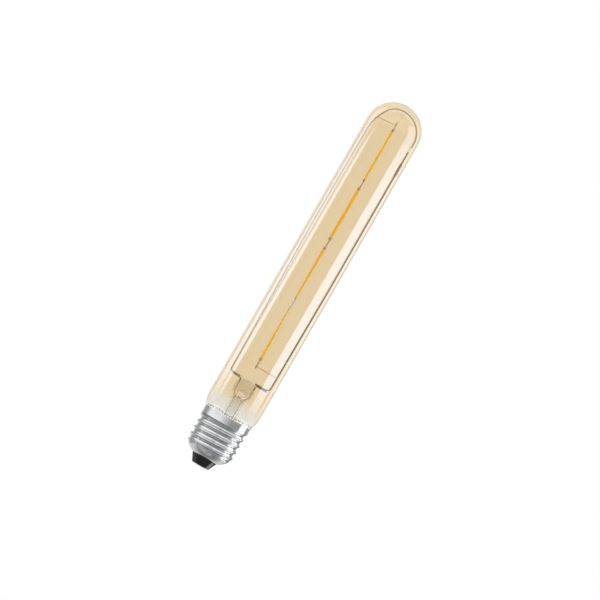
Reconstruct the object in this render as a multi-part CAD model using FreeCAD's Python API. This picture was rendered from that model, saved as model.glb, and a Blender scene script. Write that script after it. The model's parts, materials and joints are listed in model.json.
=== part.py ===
import FreeCAD, Part
import math
import os
from FreeCAD import Vector

# Tubular light bulb with a rolled screw cap, a glass stem and a chain of filament strips.
# Millimetres, +Z runs up the axis from the cap to the dome.
# The origin is the centre of the flat face of the centre contact.
# +X is the side of the straight rod, and -Y is the side that is looked at.

# Screw cap pressed from thin sheet, with a rolled right-hand thread
thread_pitch = 3.629
thread_crest_radius = 13.2
thread_depth = 1.07
crest_rounding = 0.55
crest_land = 0.12
thread_turns = 5
root_flats = 3
groove_dip = 5.955
run_out_turns = 0.5
sheet = 0.3
collar_step = 0.15
collar_flare_offset = 0.37
collar_flare_height = 1.0
collar_height = 4.25
bowl_base_z = 4.95
bowl_arc = 10.9
knee_arc = 4.0
knee_z = 11.74
knee_angle = 28.9
lip_width = 1.6

# Glass tube with a round dome, its neck cemented in the collar
glass_wall = 0.9
shoulder_swell = 2.2
shoulder_arc = 15.7
shoulder_height = 6.2
lip_rise = 0.75
lip_arc = 1.3
neck_fillet = 0.6
cement_gap = 0.25
cement_recess = 0.4
neck_length = 4.65
seal_arc = 1.6
seal_width = 0.9
dome_clearance = 10.0

# Black glass insulator and brass centre contact
contact_thickness = 0.55
contact_edge_rounding = 0.2
shank_radius = 1.6
shank_bore = 0.9
rivet_head_radius = 2.5
rivet_head_height = 0.3
insulator_spread = 2.25
insulator_foot_z = 0.3
insulator_shelf = 0.25
insulator_collar_step = 0.3
insulator_collar_taper = 0.4
insulator_top_z = 7.0
solder_recess = 0.06
solder_height = 2.2

# Glass stem: flare, tube, flat pinch and exhaust tube
stem_radius = 3.6
stem_wall = 0.9
flare_brim = 1.6
pinch_start_z = 38.0
bore_end_z = 40.5
pinch_half_width = 5.7
pinch_half_depth = 1.8
pinch_waist_z = 46.0
pinch_top_z = 51.1
pinch_dome_arc = 7.5
pinch_hole_z = 42.7
pinch_hole_half_width = 2.0
pinch_hole_half_height = 1.35
exhaust_radius = 1.85
exhaust_bore = 0.95
exhaust_tip_z = 17.0
stem_tool_reach = 10.0
section_points = 16

# Lead wires through the stem, and the arms that carry the supports
outer_lead_diameter = 0.5
seal_wire_diameter = 0.6
inner_lead_diameter = 0.6
stem_lead_x = 2.28
left_lead_x = 4.0
right_lead_x = 4.45
seal_wire_start_z = 39.4
seal_wire_slant_z = 40.2
seal_wire_level_z = 43.4
seal_wire_end_z = 47.8
left_arm_z = 50.2
right_arm_z = 50.3
left_arm_rise = 0.35
left_arm_clearance = 4.3
right_arm_clearance = 3.0
arm_bend = 0.9
weld_gap = 0.01

# Wire loop, with its shape over the dome as shares of the bore's radius
loop_diameter = 0.75
loop_foot_start = 5.2
loop_foot_clearance = 2.95
loop_foot_bend = 1.5
loop_waist_share = 0.887
loop_waist_drop = 60.8
loop_waist_bend = 600.0
loop_side_share = 0.862
loop_right_share = 0.915
loop_top_share = 0.833
loop_shoulder_share = 0.028
loop_shoulder_bend_share = 1.49
loop_crown_share = 0.402
loop_crown_bend_share = 0.677
loop_right_bend_share = 0.894
loop_end_drop = 2.9

# Sleeved rod
rod_diameter = 0.9
rod_foot_start = 3.7
rod_foot_clearance = 2.15
rod_foot_bend = 2.2
rod_knee_clearance = 1.35
rod_knee_rise = 64.7
rod_knee_bend = 400.0
rod_top_clearance = 1.53
rod_joint_drop = 16.3
rod_tip_diameter = 0.8
rod_tip_drop = 5.6
sleeve_diameter = 1.5
sleeve_length = 7.0

# Filament chain: four equal strips hung in a row, each turned by hand when it was welded
filament_length = 28.4
filament_gaps = (6.7, 7.1, 8.4)
chain_rise = 13.3
filament_x_tops = (-0.1, -0.25, -0.35, -0.62)
filament_x_ends = (-0.2, -0.3, -0.42, -0.3)
filament_turn_tops = (57.0, 22.0, 30.0, 85.0)
filament_turn_ends = (57.0, 22.0, 78.0, 47.0)
coat_width = 1.6
coat_depth = 0.65
strip_width = 0.8
strip_depth = 0.2
strip_reach = 0.7
die_count = 18
die_width = 0.45
die_depth = 0.12
die_fill = 0.7
tab_width = 1.6
tab_depth = 0.36
tab_length = 1.4
link_width = 0.7
link_depth = 0.2
link_overlap = 0.9
terminal_width = 0.75
top_terminal_length = 5.6
bottom_terminal_length = 6.3
terminal_straightening = 1.0
twist_steps = 4
cross_wire_diameter = 0.4
top_cross_drop = 1.65
top_cross_fall = 0.85
top_cross_share = 0.78
top_cross_overhang = 0.45
bottom_cross_rise = 1.25
bottom_cross_overhang = 0.85

# Driver board in the cap
board_face_y = 3.4
board_thickness = 1.0
board_half_width = 7.5
board_bottom_z = 9.0
board_top_z = 21.0
output_lead_z = 19.9
rectifier_size = (4.6, 2.2, 3.9)
driver_chip_size = (4.9, 1.5, 3.9)
chip_x = 4.8
chip_z = 17.25
capacitor_radius = 3.15
capacitor_length = 9.0
capacitor_z = 12.1
capacitor_gap = 0.1
capacitor_lead_reach = 1.4
component_wire_diameter = 0.5
resistor_radius = 1.2
resistor_length = 6.5
resistor_y = 6.8
resistor_bottom_z = 11.2
contact_wire_level_z = 8.0
resistor_lead_z = 19.6
chip_resistor_size = (1.3, 0.6, 2.0)
chip_resistor_count = 3
chip_resistor_pitch = 2.2
chip_resistor_x = -3.0
joint_radius = 0.75
joint_height = 0.45
chamfer = 0.4
shell_wire_board_x = 6.4
shell_wire_board_z = 20.05
shell_wire_angle = 48.0
shell_wire_z = 20.8
shell_joint_radius = 0.8
shell_wire_clearance = 0.3

# Cap values that follow from the sizes above
thread_root_radius = thread_crest_radius - thread_depth
flank_sum = ((thread_pitch / 2) ** 2 + thread_depth ** 2) / (2 * thread_depth)
root_rounding = flank_sum - crest_rounding
last_groove_z = knee_z - groove_dip + thread_turns * thread_pitch
collar_radius = thread_crest_radius + collar_step
collar_flare_z = last_groove_z + collar_flare_offset
collar_top = collar_flare_z + collar_flare_height + collar_height
knee_centre = Vector(thread_crest_radius - knee_arc, 0, knee_z)
bowl_centre = knee_centre - Vector(math.cos(math.radians(knee_angle)), 0, -math.sin(math.radians(knee_angle))) * (
    bowl_arc - knee_arc)
insulator_top_radius = bowl_centre.x + math.sqrt(bowl_arc ** 2 - (bowl_centre.z - bowl_base_z) ** 2)
insulator_foot_radius = insulator_top_radius - insulator_spread
insulator_collar_radius = insulator_top_radius - insulator_collar_step
contact_radius = insulator_foot_radius - insulator_shelf
lip_hole_radius = insulator_top_radius - lip_width

# Glass and stem values
neck_radius = collar_radius - sheet - cement_gap
tube_radius = neck_radius + shoulder_swell
bore_radius = tube_radius - glass_wall
shoulder_lip_z = collar_top + lip_rise
shoulder_z = shoulder_lip_z + shoulder_height
seal_z = collar_top - neck_length
rim_radius = neck_radius - seal_arc
seal_inner_radius = rim_radius - seal_width
stem_bore = stem_radius - stem_wall
flare_arc = rim_radius - stem_radius - flare_brim
flare_centre = Vector(stem_radius + flare_arc, 0, seal_z + flare_arc)

# Filament chain values, stacked up from the pinch, and the dome above them
chain_base_z = pinch_top_z + chain_rise
filament_tops = [
    chain_base_z + (4 - index) * filament_length + sum(filament_gaps[index:])
    for index in range(4)
]
bottom_terminal_z = chain_base_z - bottom_terminal_length
bottom_cross_z = bottom_terminal_z + bottom_cross_rise
top_terminal_z = filament_tops[0] + top_terminal_length
top_cross_z = top_terminal_z - top_cross_drop
overall_length = top_terminal_z + dome_clearance
dome_z = overall_length - tube_radius

# Support values, tied to the bore and to the dome
left_arm_end = bore_radius - left_arm_clearance
right_arm_end = bore_radius - right_arm_clearance
rod_foot_x = bore_radius - rod_foot_clearance
rod_knee_x = bore_radius - rod_knee_clearance
rod_knee_z = right_arm_z + rod_knee_rise
rod_top_x = bore_radius - rod_top_clearance
rod_joint_z = dome_z - rod_joint_drop
board_back_y = board_face_y + board_thickness


def at(x, z):
    """A point in the plane of the axis."""
    return Vector(x, 0, z)


def on_circle(centre, radius, degrees):
    """The point of a circle at an angle from +X towards +Z."""
    angle = math.radians(degrees)
    return centre + Vector(radius * math.cos(angle), 0, radius * math.sin(angle))


def arc(centre, radius, start, end):
    """An arc in the plane of the axis, between two angles in degrees."""
    middle = (start + end) / 2
    points = [on_circle(centre, radius, angle) for angle in (start, middle, end)]
    return Part.Arc(*points).toShape()


def line(start, end):
    return Part.LineSegment(start, end).toShape()


def chain(edges):
    """Join a row of edges, add straight edges where one ends away from the next, and close it."""
    joined = []
    for index, edge in enumerate(edges):
        following = edges[(index + 1) % len(edges)]
        joined.append(edge)
        if edge.lastVertex().Point.distanceToPoint(following.firstVertex().Point) > 1e-6:
            joined.append(line(edge.lastVertex().Point, following.firstVertex().Point))
    return Part.Wire(joined)


def turned(edges):
    """A full turn of a closed outline about the axis."""
    return Part.Face(chain(edges)).revolve(Vector(0, 0, 0), Vector(0, 0, 1), 360)


def outline(*points):
    """Straight edges through the points, each as (radius, height)."""
    places = [at(*point) for point in points]
    return [line(start, end) for start, end in zip(places, places[1:])]


def route(points, bends):
    """Straight runs through the points, joined by tangent arcs of the given radii."""
    edges = []
    start = points[0]
    for before, corner, after, radius in zip(points, points[1:], points[2:], bends):
        back = (before - corner).normalize()
        onward = (after - corner).normalize()
        half_turn = (math.pi - back.getAngle(onward)) / 2
        reach = radius * math.tan(half_turn)
        inward = (back + onward).normalize()
        arc_middle = corner + inward * (radius / math.cos(half_turn) - radius)
        edges.append(line(start, corner + back * reach))
        edges.append(Part.Arc(corner + back * reach, arc_middle, corner + onward * reach).toShape())
        start = corner + onward * reach
    edges.append(line(start, points[-1]))
    return Part.Wire(edges)


def wire_rod(points, bends, diameter):
    """A round wire along a route."""
    path = route(points, bends)
    section = Part.Wire(Part.makeCircle(diameter / 2, points[0], points[1] - points[0]))
    return path.makePipeShell([section], True, False)


def block(size, centre):
    """A box given by its size and its centre."""
    corner = centre - Vector(*size) * 0.5
    return Part.makeBox(*size, corner)


# Screw cap

def groove_section(inset, z):
    """Closed section of the thread groove in short flats, shifted inwards by the sheet for the inner form."""
    crest_arc = crest_rounding - inset
    crest_reach = thread_crest_radius - crest_rounding
    root_centre = at(thread_root_radius + root_rounding, z)
    outside = thread_crest_radius + thread_depth
    tilt = math.degrees(math.asin(thread_pitch / 2 / flank_sum))
    land_angle = math.degrees(math.asin(crest_land / crest_arc))
    lower = on_circle(at(crest_reach, z - thread_pitch / 2), crest_arc, land_angle)
    upper = on_circle(at(crest_reach, z + thread_pitch / 2), crest_arc, -land_angle)
    angles = [180 + tilt - 2 * tilt * step / root_flats for step in range(root_flats + 1)]
    root = [on_circle(root_centre, root_rounding + inset, angle) for angle in angles]
    points = [at(outside, lower.z), lower] + root + [upper, at(outside, upper.z)]
    return Part.makePolygon(points + points[:1])


def groove(inset, turns, z, cone_angle):
    """The groove swept along a helix that starts at +X at the given height."""
    if cone_angle:
        helix = Part.makeHelix(thread_pitch, turns * thread_pitch, thread_root_radius, cone_angle)
    else:
        helix = Part.makeHelix(thread_pitch, turns * thread_pitch, thread_root_radius)
    helix.translate(Vector(0, 0, z))
    sweep = Part.BRepOffsetAPI.MakePipeShell(helix)
    sweep.setFrenetMode(True)
    sweep.add(groove_section(inset, z))
    sweep.build()
    sweep.makeSolid()
    return sweep.shape()


def cap_form(inset):
    """The cap as a solid form, its outside with no inset and its inside with the sheet as inset."""
    base_z = bowl_base_z + inset
    bowl_start = math.degrees(math.asin((base_z - bowl_centre.z) / (bowl_arc - inset)))
    bowl = arc(bowl_centre, bowl_arc - inset, bowl_start, -knee_angle)
    knee = arc(knee_centre, knee_arc - inset, -knee_angle, 0)
    wall = outline(
        (thread_crest_radius - inset, knee_z),
        (thread_crest_radius - inset, collar_flare_z),
        (collar_radius - inset, collar_flare_z + collar_flare_height),
        (collar_radius - inset, collar_top),
    )
    axis = outline((0, collar_top), (0, base_z))
    form = turned([bowl, knee] + wall + axis)
    first_z = last_groove_z - thread_turns * thread_pitch
    run_out_angle = math.degrees(math.atan2(thread_depth + 0.5, thread_pitch * run_out_turns))
    form = form.cut(groove(inset, thread_turns - 1, first_z, 0))
    form = form.cut(groove(inset, 1, last_groove_z - thread_pitch, 0))
    return form.cut(groove(inset, run_out_turns, last_groove_z, run_out_angle))


def ring_face(outer, inner):
    """The flat ring between the round edges of two forms at one height."""
    return Part.Face([Part.Wire(outer), Part.Wire(inner)])


def edges_at(form, z):
    """The round edges of a form that lie flat at a height."""
    return [edge for edge in form.Edges if abs(edge.BoundBox.ZMin - z) < 1e-4 and abs(edge.BoundBox.ZMax - z) < 1e-4]


def side_faces(form, low, high):
    """The faces of a form without its flat ends."""
    return [face for face in form.Faces if not flat_at(face, low) and not flat_at(face, high)]


def flat_at(face, z):
    return isinstance(face.Surface, Part.Plane) and abs(face.CenterOfMass.z - z) < 1e-4


def cap_shell(outer, inner):
    """Sheet between the two forms: their side faces, a ring at the top, and the lip at the base."""
    rim = ring_face(edges_at(outer, collar_top), edges_at(inner, collar_top))
    faces = side_faces(outer, bowl_base_z, collar_top)
    faces += [face.reversed() for face in side_faces(inner, bowl_base_z + sheet, collar_top)]
    hole_low = Part.makeCircle(lip_hole_radius, at(0, bowl_base_z))
    hole_high = Part.makeCircle(lip_hole_radius, at(0, bowl_base_z + sheet))
    faces.append(rim)
    faces.append(ring_face(edges_at(outer, bowl_base_z), [hole_low]))
    faces.append(ring_face(edges_at(inner, bowl_base_z + sheet), [hole_high]))
    faces.append(Part.makeRuledSurface(hole_low, hole_high))
    shell = Part.makeShell(faces)
    shell.sewShape()
    solid = Part.Solid(shell)
    solid.fix(1e-5, 1e-5, 1e-4)
    return solid


def cap_insulator():
    """Black glass cone, run through the hole of the shell and over its lip."""
    return turned(outline(
        (shank_radius, contact_thickness),
        (contact_radius, contact_thickness),
        (contact_radius, insulator_foot_z),
        (insulator_foot_radius, insulator_foot_z),
        (insulator_top_radius, bowl_base_z),
        (lip_hole_radius, bowl_base_z),
        (lip_hole_radius, bowl_base_z + sheet),
        (insulator_collar_radius, bowl_base_z + sheet),
        (insulator_collar_radius - insulator_collar_taper, insulator_top_z),
        (shank_radius, insulator_top_z),
    ))


def centre_contact():
    """Flat disc with a hollow shank that is riveted over the inside of the insulator."""
    rounding = contact_edge_rounding
    edge = arc(at(contact_radius - rounding, rounding), rounding, -90, 0)
    rest = outline(
        (contact_radius, contact_thickness),
        (shank_radius, contact_thickness),
        (shank_radius, insulator_top_z),
        (rivet_head_radius, insulator_top_z),
        (rivet_head_radius, insulator_top_z + rivet_head_height),
        (shank_bore, insulator_top_z + rivet_head_height),
        (shank_bore, 0),
    )
    return turned([edge] + rest)


def contact_solder(wire):
    """Solder that fills the foot of the shank round its wire."""
    plug = Part.makeCylinder(shank_bore, solder_height - solder_recess, at(0, solder_recess))
    return plug.cut(wire)


# Glass

def envelope_form(inset):
    """The bulb as a solid form, its outside with no inset and its inside with the wall as inset."""
    shoulder_centre = at(tube_radius - shoulder_arc, shoulder_z)
    lip_start = math.degrees(math.asin((shoulder_lip_z - shoulder_z) / shoulder_arc))
    lip_centre = on_circle(shoulder_centre, shoulder_arc - lip_arc, lip_start)
    reach = lip_arc + neck_fillet
    lip_end = -math.degrees(math.acos((neck_radius + neck_fillet - lip_centre.x) / reach))
    fillet_centre = on_circle(lip_centre, reach, lip_end)
    seal_centre = at(neck_radius - seal_arc, seal_z + seal_arc)
    return turned([
        line(at(seal_inner_radius, seal_z + inset), at(seal_centre.x, seal_z + inset)),
        arc(seal_centre, seal_arc - inset, -90, 0),
        arc(fillet_centre, neck_fillet + inset, 180, 180 + lip_end),
        arc(lip_centre, lip_arc - inset, lip_end, lip_start),
        arc(shoulder_centre, shoulder_arc - inset, lip_start, 0),
        arc(at(0, dome_z), tube_radius - inset, 0, 90),
        line(at(0, dome_z), at(0, seal_z + inset)),
    ])


def glass_envelope():
    """Blown tube with a round dome, drawn in at the neck and sealed to the rim of the flare."""
    mouth = Part.makeCylinder(seal_inner_radius, 2 * glass_wall, at(0, seal_z - glass_wall))
    return envelope_form(0).cut(envelope_form(glass_wall)).cut(mouth)


def rounded_section(half_width, half_depth, squareness, z):
    """Closed smooth curve between an ellipse and a rounded rectangle at a height."""
    points = []
    for step in range(section_points):
        angle = math.tau * step / section_points
        across = math.copysign(abs(math.cos(angle)) ** (2 / squareness), math.cos(angle))
        along = math.copysign(abs(math.sin(angle)) ** (2 / squareness), math.sin(angle))
        points.append(Vector(half_width * across, half_depth * along, z))
    curve = Part.BSplineCurve()
    curve.interpolate(points, PeriodicFlag=True)
    return Part.Wire(curve.toShape())


def round_section(radius, z):
    return Part.Wire(Part.makeCircle(radius, at(0, z)))


def stem_flare(embedded):
    """Trumpet flare and tube, pressed flat to a pinch round the wires, with the blown hole."""
    outer = flare_arc
    inner = flare_arc + stem_wall
    base_z = seal_z - stem_wall
    tube = turned([
        arc(flare_centre, outer, 270, 180),
        line(at(stem_radius, flare_centre.z), at(stem_radius, pinch_start_z)),
        line(at(stem_bore, pinch_start_z), at(stem_bore, flare_centre.z)),
        arc(flare_centre, inner, 180, 270),
        line(at(rim_radius, base_z), at(rim_radius, seal_z)),
    ])
    half_way = (pinch_start_z + bore_end_z) / 2
    pinch_sections = [
        round_section(stem_radius, pinch_start_z),
        rounded_section(stem_radius + 0.3, stem_radius - 0.2, 2.1, half_way),
        rounded_section(stem_radius + 1.0, stem_radius - 0.7, 2.4, bore_end_z),
        rounded_section(pinch_half_width - 0.3, pinch_half_depth + 0.4, 3.2, bore_end_z + 2.4),
        rounded_section(pinch_half_width, pinch_half_depth, 4.0, pinch_waist_z),
        rounded_section(pinch_half_width - 0.5, pinch_half_depth, 4.0, pinch_top_z - 2.2),
        rounded_section(pinch_half_width - 1.1, pinch_half_depth - 0.1, 3.6, pinch_top_z + 0.1),
    ]
    pinch = Part.makeLoft(pinch_sections, True, False)
    reach = stem_tool_reach
    dome_axis_z = pinch_top_z - pinch_dome_arc
    dome = Part.makeCylinder(pinch_dome_arc, 2 * reach, Vector(0, reach, dome_axis_z), Vector(0, -1, 0))
    below = Part.makeBox(2 * reach, 2 * reach, dome_axis_z - pinch_start_z, Vector(-reach, -reach, pinch_start_z))
    pinch = pinch.common(dome.fuse(below))
    bore_sections = [
        round_section(stem_bore, pinch_start_z),
        rounded_section(stem_bore + 0.2, stem_bore - 0.2, 2.1, half_way),
        rounded_section(stem_bore + 0.1, exhaust_radius + 0.15, 2.2, bore_end_z),
    ]
    bore = Part.makeLoft(bore_sections, True, False)
    vent = Part.makeCylinder(exhaust_bore, pinch_hole_z - bore_end_z, at(0, bore_end_z))
    ellipse = Part.Ellipse(Vector(0, 0, 0), pinch_hole_half_width, pinch_hole_half_height)
    hole = Part.Face(Part.Wire(ellipse.toShape())).extrude(Vector(0, 0, 2 * reach))
    hole.rotate(Vector(0, 0, 0), Vector(1, 0, 0), 90)
    hole.translate(Vector(0, reach, pinch_hole_z))
    return tube.fuse(pinch.cut(bore).cut(vent).cut(hole)).cut(embedded)


def exhaust_tube():
    """Thin tube from the pinch down into the cap, melted shut at its tip."""
    wall = exhaust_radius - exhaust_bore
    tip_centre = at(0, exhaust_tip_z + exhaust_radius)
    return turned([
        arc(tip_centre, exhaust_radius, -90, 0),
        line(at(exhaust_radius, bore_end_z), at(exhaust_bore, bore_end_z)),
        line(at(exhaust_bore, tip_centre.z + wall), at(0, tip_centre.z + 2 * wall)),
    ])


# Wires

def seal_wire(side, lead_x):
    """Wire that runs from the tube bore outwards into the pinch."""
    points = [
        at(side * stem_lead_x, seal_wire_start_z),
        at(side * stem_lead_x, seal_wire_slant_z),
        at(side * lead_x, seal_wire_level_z),
        at(side * lead_x, seal_wire_end_z),
    ]
    return wire_rod(points, [1.0, 1.5], seal_wire_diameter)


def outer_lead(side):
    """Copper wire from the seal down the stem and across into the driver board."""
    x = side * stem_lead_x
    points = [
        Vector(x, 0, seal_wire_start_z),
        Vector(x, 0, output_lead_z),
        Vector(x, board_back_y, output_lead_z),
    ]
    return wire_rod(points, [1.0], outer_lead_diameter)


def left_inner_lead():
    points = [
        at(-left_lead_x, seal_wire_end_z),
        at(-left_lead_x, left_arm_z),
        at(-left_arm_end, left_arm_z + left_arm_rise),
    ]
    return wire_rod(points, [arm_bend], inner_lead_diameter)


def right_inner_lead():
    points = [
        at(right_lead_x, seal_wire_end_z),
        at(right_lead_x, right_arm_z),
        at(right_arm_end, right_arm_z),
    ]
    return wire_rod(points, [arm_bend], inner_lead_diameter)


def loop_support_wire():
    """Wire welded on the left arm, up the side of the tube and over the dome."""
    lift = (inner_lead_diameter + loop_diameter) / 2 + weld_gap
    slope = left_arm_rise / (left_arm_end - left_lead_x)
    lift = lift * math.hypot(1, slope)
    foot_z = left_arm_z + slope * (loop_foot_start - left_lead_x) + lift
    foot_x = bore_radius - loop_foot_clearance
    corner_z = left_arm_z + slope * (foot_x - left_lead_x) + lift
    crown_z = dome_z + loop_top_share * bore_radius
    right_x = loop_right_share * bore_radius
    points = [
        at(-loop_foot_start, foot_z),
        at(-foot_x, corner_z),
        at(-loop_waist_share * bore_radius, dome_z - loop_waist_drop),
        at(-loop_side_share * bore_radius, dome_z + loop_shoulder_share * bore_radius),
        at(-loop_crown_share * bore_radius, crown_z),
        at(right_x, crown_z),
        at(right_x, dome_z - loop_end_drop),
    ]
    shares = [loop_shoulder_bend_share, loop_crown_bend_share, loop_right_bend_share]
    bends = [loop_foot_bend, loop_waist_bend] + [share * bore_radius for share in shares]
    return wire_rod(points, bends, loop_diameter)


def rod_direction():
    return (at(rod_top_x, rod_joint_z) - at(rod_knee_x, rod_knee_z)).normalize()


def rod_at(z):
    """Point on the straight part of the rod's axis at a height."""
    along = rod_direction()
    start = at(rod_top_x, rod_joint_z)
    return start + along * ((z - rod_joint_z) / along.z)


def right_support_rod():
    """Rod welded on the right arm and bent up beside the filaments."""
    foot_z = right_arm_z + (inner_lead_diameter + rod_diameter) / 2 + weld_gap
    points = [
        at(rod_foot_start, foot_z),
        at(rod_foot_x, foot_z),
        at(rod_knee_x, rod_knee_z),
        at(rod_top_x, rod_joint_z),
    ]
    return wire_rod(points, [rod_foot_bend, rod_knee_bend], rod_diameter)


def straight_wire(start, end, diameter):
    return Part.makeCylinder(diameter / 2, start.distanceToPoint(end), start, end - start)


def right_rod_tip():
    """Thinner end of the rod, from the middle of the sleeve up."""
    return straight_wire(rod_at(rod_joint_z), rod_at(dome_z - rod_tip_drop), rod_tip_diameter)


def rod_sleeve(rod, tip):
    """Sleeve pressed over the joint between the rod and its tip."""
    low = rod_at(rod_joint_z - sleeve_length / 2)
    high = rod_at(rod_joint_z + sleeve_length / 2)
    return straight_wire(low, high, sleeve_diameter).cut([rod, tip])


# Filaments

def placed(u, v, degrees, x, z):
    """A point of a section, turned about the vertical and moved to its place."""
    angle = math.radians(degrees)
    return Vector(x + u * math.cos(angle) - v * math.sin(angle), u * math.sin(angle) + v * math.cos(angle), z)


def flat_section(width, depth, offset, place):
    """Rectangle of a strip, with its middle moved off the turning axis by an offset."""
    u = width / 2
    v = depth / 2
    corners = [(-u, offset - v), (u, offset - v), (u, offset + v), (-u, offset + v)]
    points = [placed(a, b, *place) for a, b in corners]
    return Part.makePolygon(points + points[:1])


def coat_section(place):
    """Slot-shaped section of the coat."""
    half = (coat_width - coat_depth) / 2
    radius = coat_depth / 2
    corners = [placed(a, b, *place) for a, b in ((half, -radius), (half, radius), (-half, radius), (-half, -radius))]
    right = Part.Arc(corners[0], placed(half + radius, 0, *place), corners[1]).toShape()
    left = Part.Arc(corners[2], placed(-half - radius, 0, *place), corners[3]).toShape()
    return Part.Wire([right, line(corners[1], corners[2]), left, line(corners[3], corners[0])])


def filament_place(index, share):
    """Turn, x and height on a filament, with share 0 at its top and 1 at its bottom."""
    turn = filament_turn_tops[index] + share * (filament_turn_ends[index] - filament_turn_tops[index])
    x = filament_x_tops[index] + share * (filament_x_ends[index] - filament_x_tops[index])
    return turn, x, filament_tops[index] - share * filament_length


def twisted(section, places):
    """Solid through one section after another."""
    return Part.makeLoft([section(place) for place in places], True, True)


def beyond(place, rise):
    """The same place moved along the vertical."""
    turn, x, z = place
    return turn, x, z + rise


def filament_places(index):
    return [filament_place(index, step / twist_steps) for step in range(twist_steps + 1)]


def filament_strip(index):
    """Carrier strip, a little longer than its coat."""
    places = filament_places(index)
    places = [beyond(places[0], strip_reach)] + places + [beyond(places[-1], -strip_reach)]
    return twisted(lambda place: flat_section(strip_width, strip_depth, 0, place), places)


def filament_dies(index, strip):
    """Row of chips on the front of the strip."""
    pitch = 1 / die_count
    offset = -(strip_depth + die_depth) / 2 + 0.01
    dies = []
    for number in range(die_count):
        middle = (number + 0.5) * pitch
        half = die_fill * pitch / 2
        ends = [filament_place(index, middle - half), filament_place(index, middle + half)]
        die = twisted(lambda place: flat_section(die_width, die_depth, offset, place), ends)
        dies.append(die.cut(strip))
    return Part.makeCompound(dies)


def filament_coat(index, strip, dies):
    """Phosphor coat round the strip and its chips."""
    return twisted(coat_section, filament_places(index)).cut([strip] + dies.Solids)


def filament_tab(place, rise, strip):
    """End tab, pressed on the end of the strip."""
    ends = [place, beyond(place, rise)]
    return twisted(lambda spot: flat_section(tab_width, tab_depth, 0, spot), ends).cut(strip)


def lapped_strip(width, places):
    """Thin strip that lies on the front of the tabs it is welded to."""
    offset = -(tab_depth + link_depth) / 2 - weld_gap
    return twisted(lambda place: flat_section(width, link_depth, offset, place), places)


def filament_link(index):
    """Link between the bottom tab of one filament and the top tab of the next."""
    above = filament_place(index, 1)
    below = filament_place(index + 1, 0)
    return lapped_strip(link_width, [
        beyond(above, link_overlap - tab_length),
        beyond(above, -tab_length),
        beyond(below, tab_length),
        beyond(below, tab_length - link_overlap),
    ])


def end_terminal(place, towards_tab, end_z):
    """Terminal strip at one end of the chain."""
    x = place[1]
    tab_end = beyond(place, -towards_tab * tab_length)
    tab_start = beyond(tab_end, towards_tab * link_overlap)
    straight = (0, x, tab_end[2] - towards_tab * terminal_straightening)
    return lapped_strip(terminal_width, [tab_start, tab_end, straight, (0, x, end_z)])


def cross_wire(near_x, near_z, far_x, far_z, far_diameter):
    """Thin wire across the front of a terminal and of the wire that carries it."""
    terminal_front = -tab_depth / 2 - link_depth - weld_gap
    near_y = terminal_front - cross_wire_diameter / 2 - 2 * weld_gap
    far_y = -(far_diameter + cross_wire_diameter) / 2 - 2 * weld_gap
    return straight_wire(Vector(near_x, min(near_y, far_y), near_z), Vector(far_x, far_y, far_z), cross_wire_diameter)


# Driver board

def board_wires():
    """Component wires and the holes that they go through, as one named group."""
    y = capacitor_axis_y()
    reach = capacitor_length / 2 + capacitor_lead_reach
    capacitor_leads = []
    for side in (-1, 1):
        start = Vector(side * capacitor_length / 2, y, capacitor_z)
        corner = Vector(side * reach, y, capacitor_z)
        end = Vector(side * reach, board_back_y, capacitor_z)
        capacitor_leads.append(wire_rod([start, corner, end], [0.8], component_wire_diameter))
    lower = wire_rod([
        at(0, solder_recess + 0.8),
        at(0, contact_wire_level_z),
        Vector(0, resistor_y, contact_wire_level_z),
        Vector(0, resistor_y, resistor_bottom_z),
    ], [1.0, 1.0], component_wire_diameter)
    resistor_top = resistor_bottom_z + resistor_length
    upper = wire_rod([
        Vector(0, resistor_y, resistor_top),
        Vector(0, resistor_y, resistor_lead_z),
        Vector(0, board_face_y, resistor_lead_z),
    ], [0.8], component_wire_diameter)
    return capacitor_leads, lower, upper


def capacitor_axis_y():
    return board_face_y - capacitor_radius - capacitor_gap


def smoothing_capacitor(leads):
    """Round can that lies on the board, with its two wires."""
    start = Vector(-capacitor_length / 2, capacitor_axis_y(), capacitor_z)
    can = Part.makeCylinder(capacitor_radius, capacitor_length, start, Vector(1, 0, 0))
    can = can.makeChamfer(chamfer, [edge for edge in can.Edges if isinstance(edge.Curve, Part.Circle)])
    return can.fuse(leads)


def fusible_resistor(upper):
    body = Part.makeCylinder(resistor_radius, resistor_length, Vector(0, resistor_y, resistor_bottom_z))
    body = body.makeChamfer(chamfer, [edge for edge in body.Edges if isinstance(edge.Curve, Part.Circle)])
    return body.fuse(upper)


def shell_wire_points():
    angle = math.radians(shell_wire_angle)
    reach = thread_root_radius - sheet - shell_wire_clearance
    end = Vector(reach * math.cos(angle), reach * math.sin(angle), shell_wire_z)
    start = Vector(shell_wire_board_x, board_face_y, shell_wire_board_z)
    corner = Vector(shell_wire_board_x, end.y - 1.6, shell_wire_board_z)
    return [start, corner, end]


def chip(size, x, z, face, direction):
    """A block that lies on one face of the board."""
    return block(size, Vector(x, face + direction * size[1] / 2, z))


def sense_resistors():
    rows = [capacitor_z - chip_resistor_pitch + step * chip_resistor_pitch for step in range(chip_resistor_count)]
    return Part.makeCompound([chip(chip_resistor_size, chip_resistor_x, z, board_back_y, 1) for z in rows])


def solder_dome(x, z, face, direction):
    """Small cone of solder round a wire on one face of the board."""
    axis = Vector(0, direction, 0)
    return Part.makeCone(joint_radius, joint_radius / 2, joint_height, Vector(x, face, z), axis)


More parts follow.
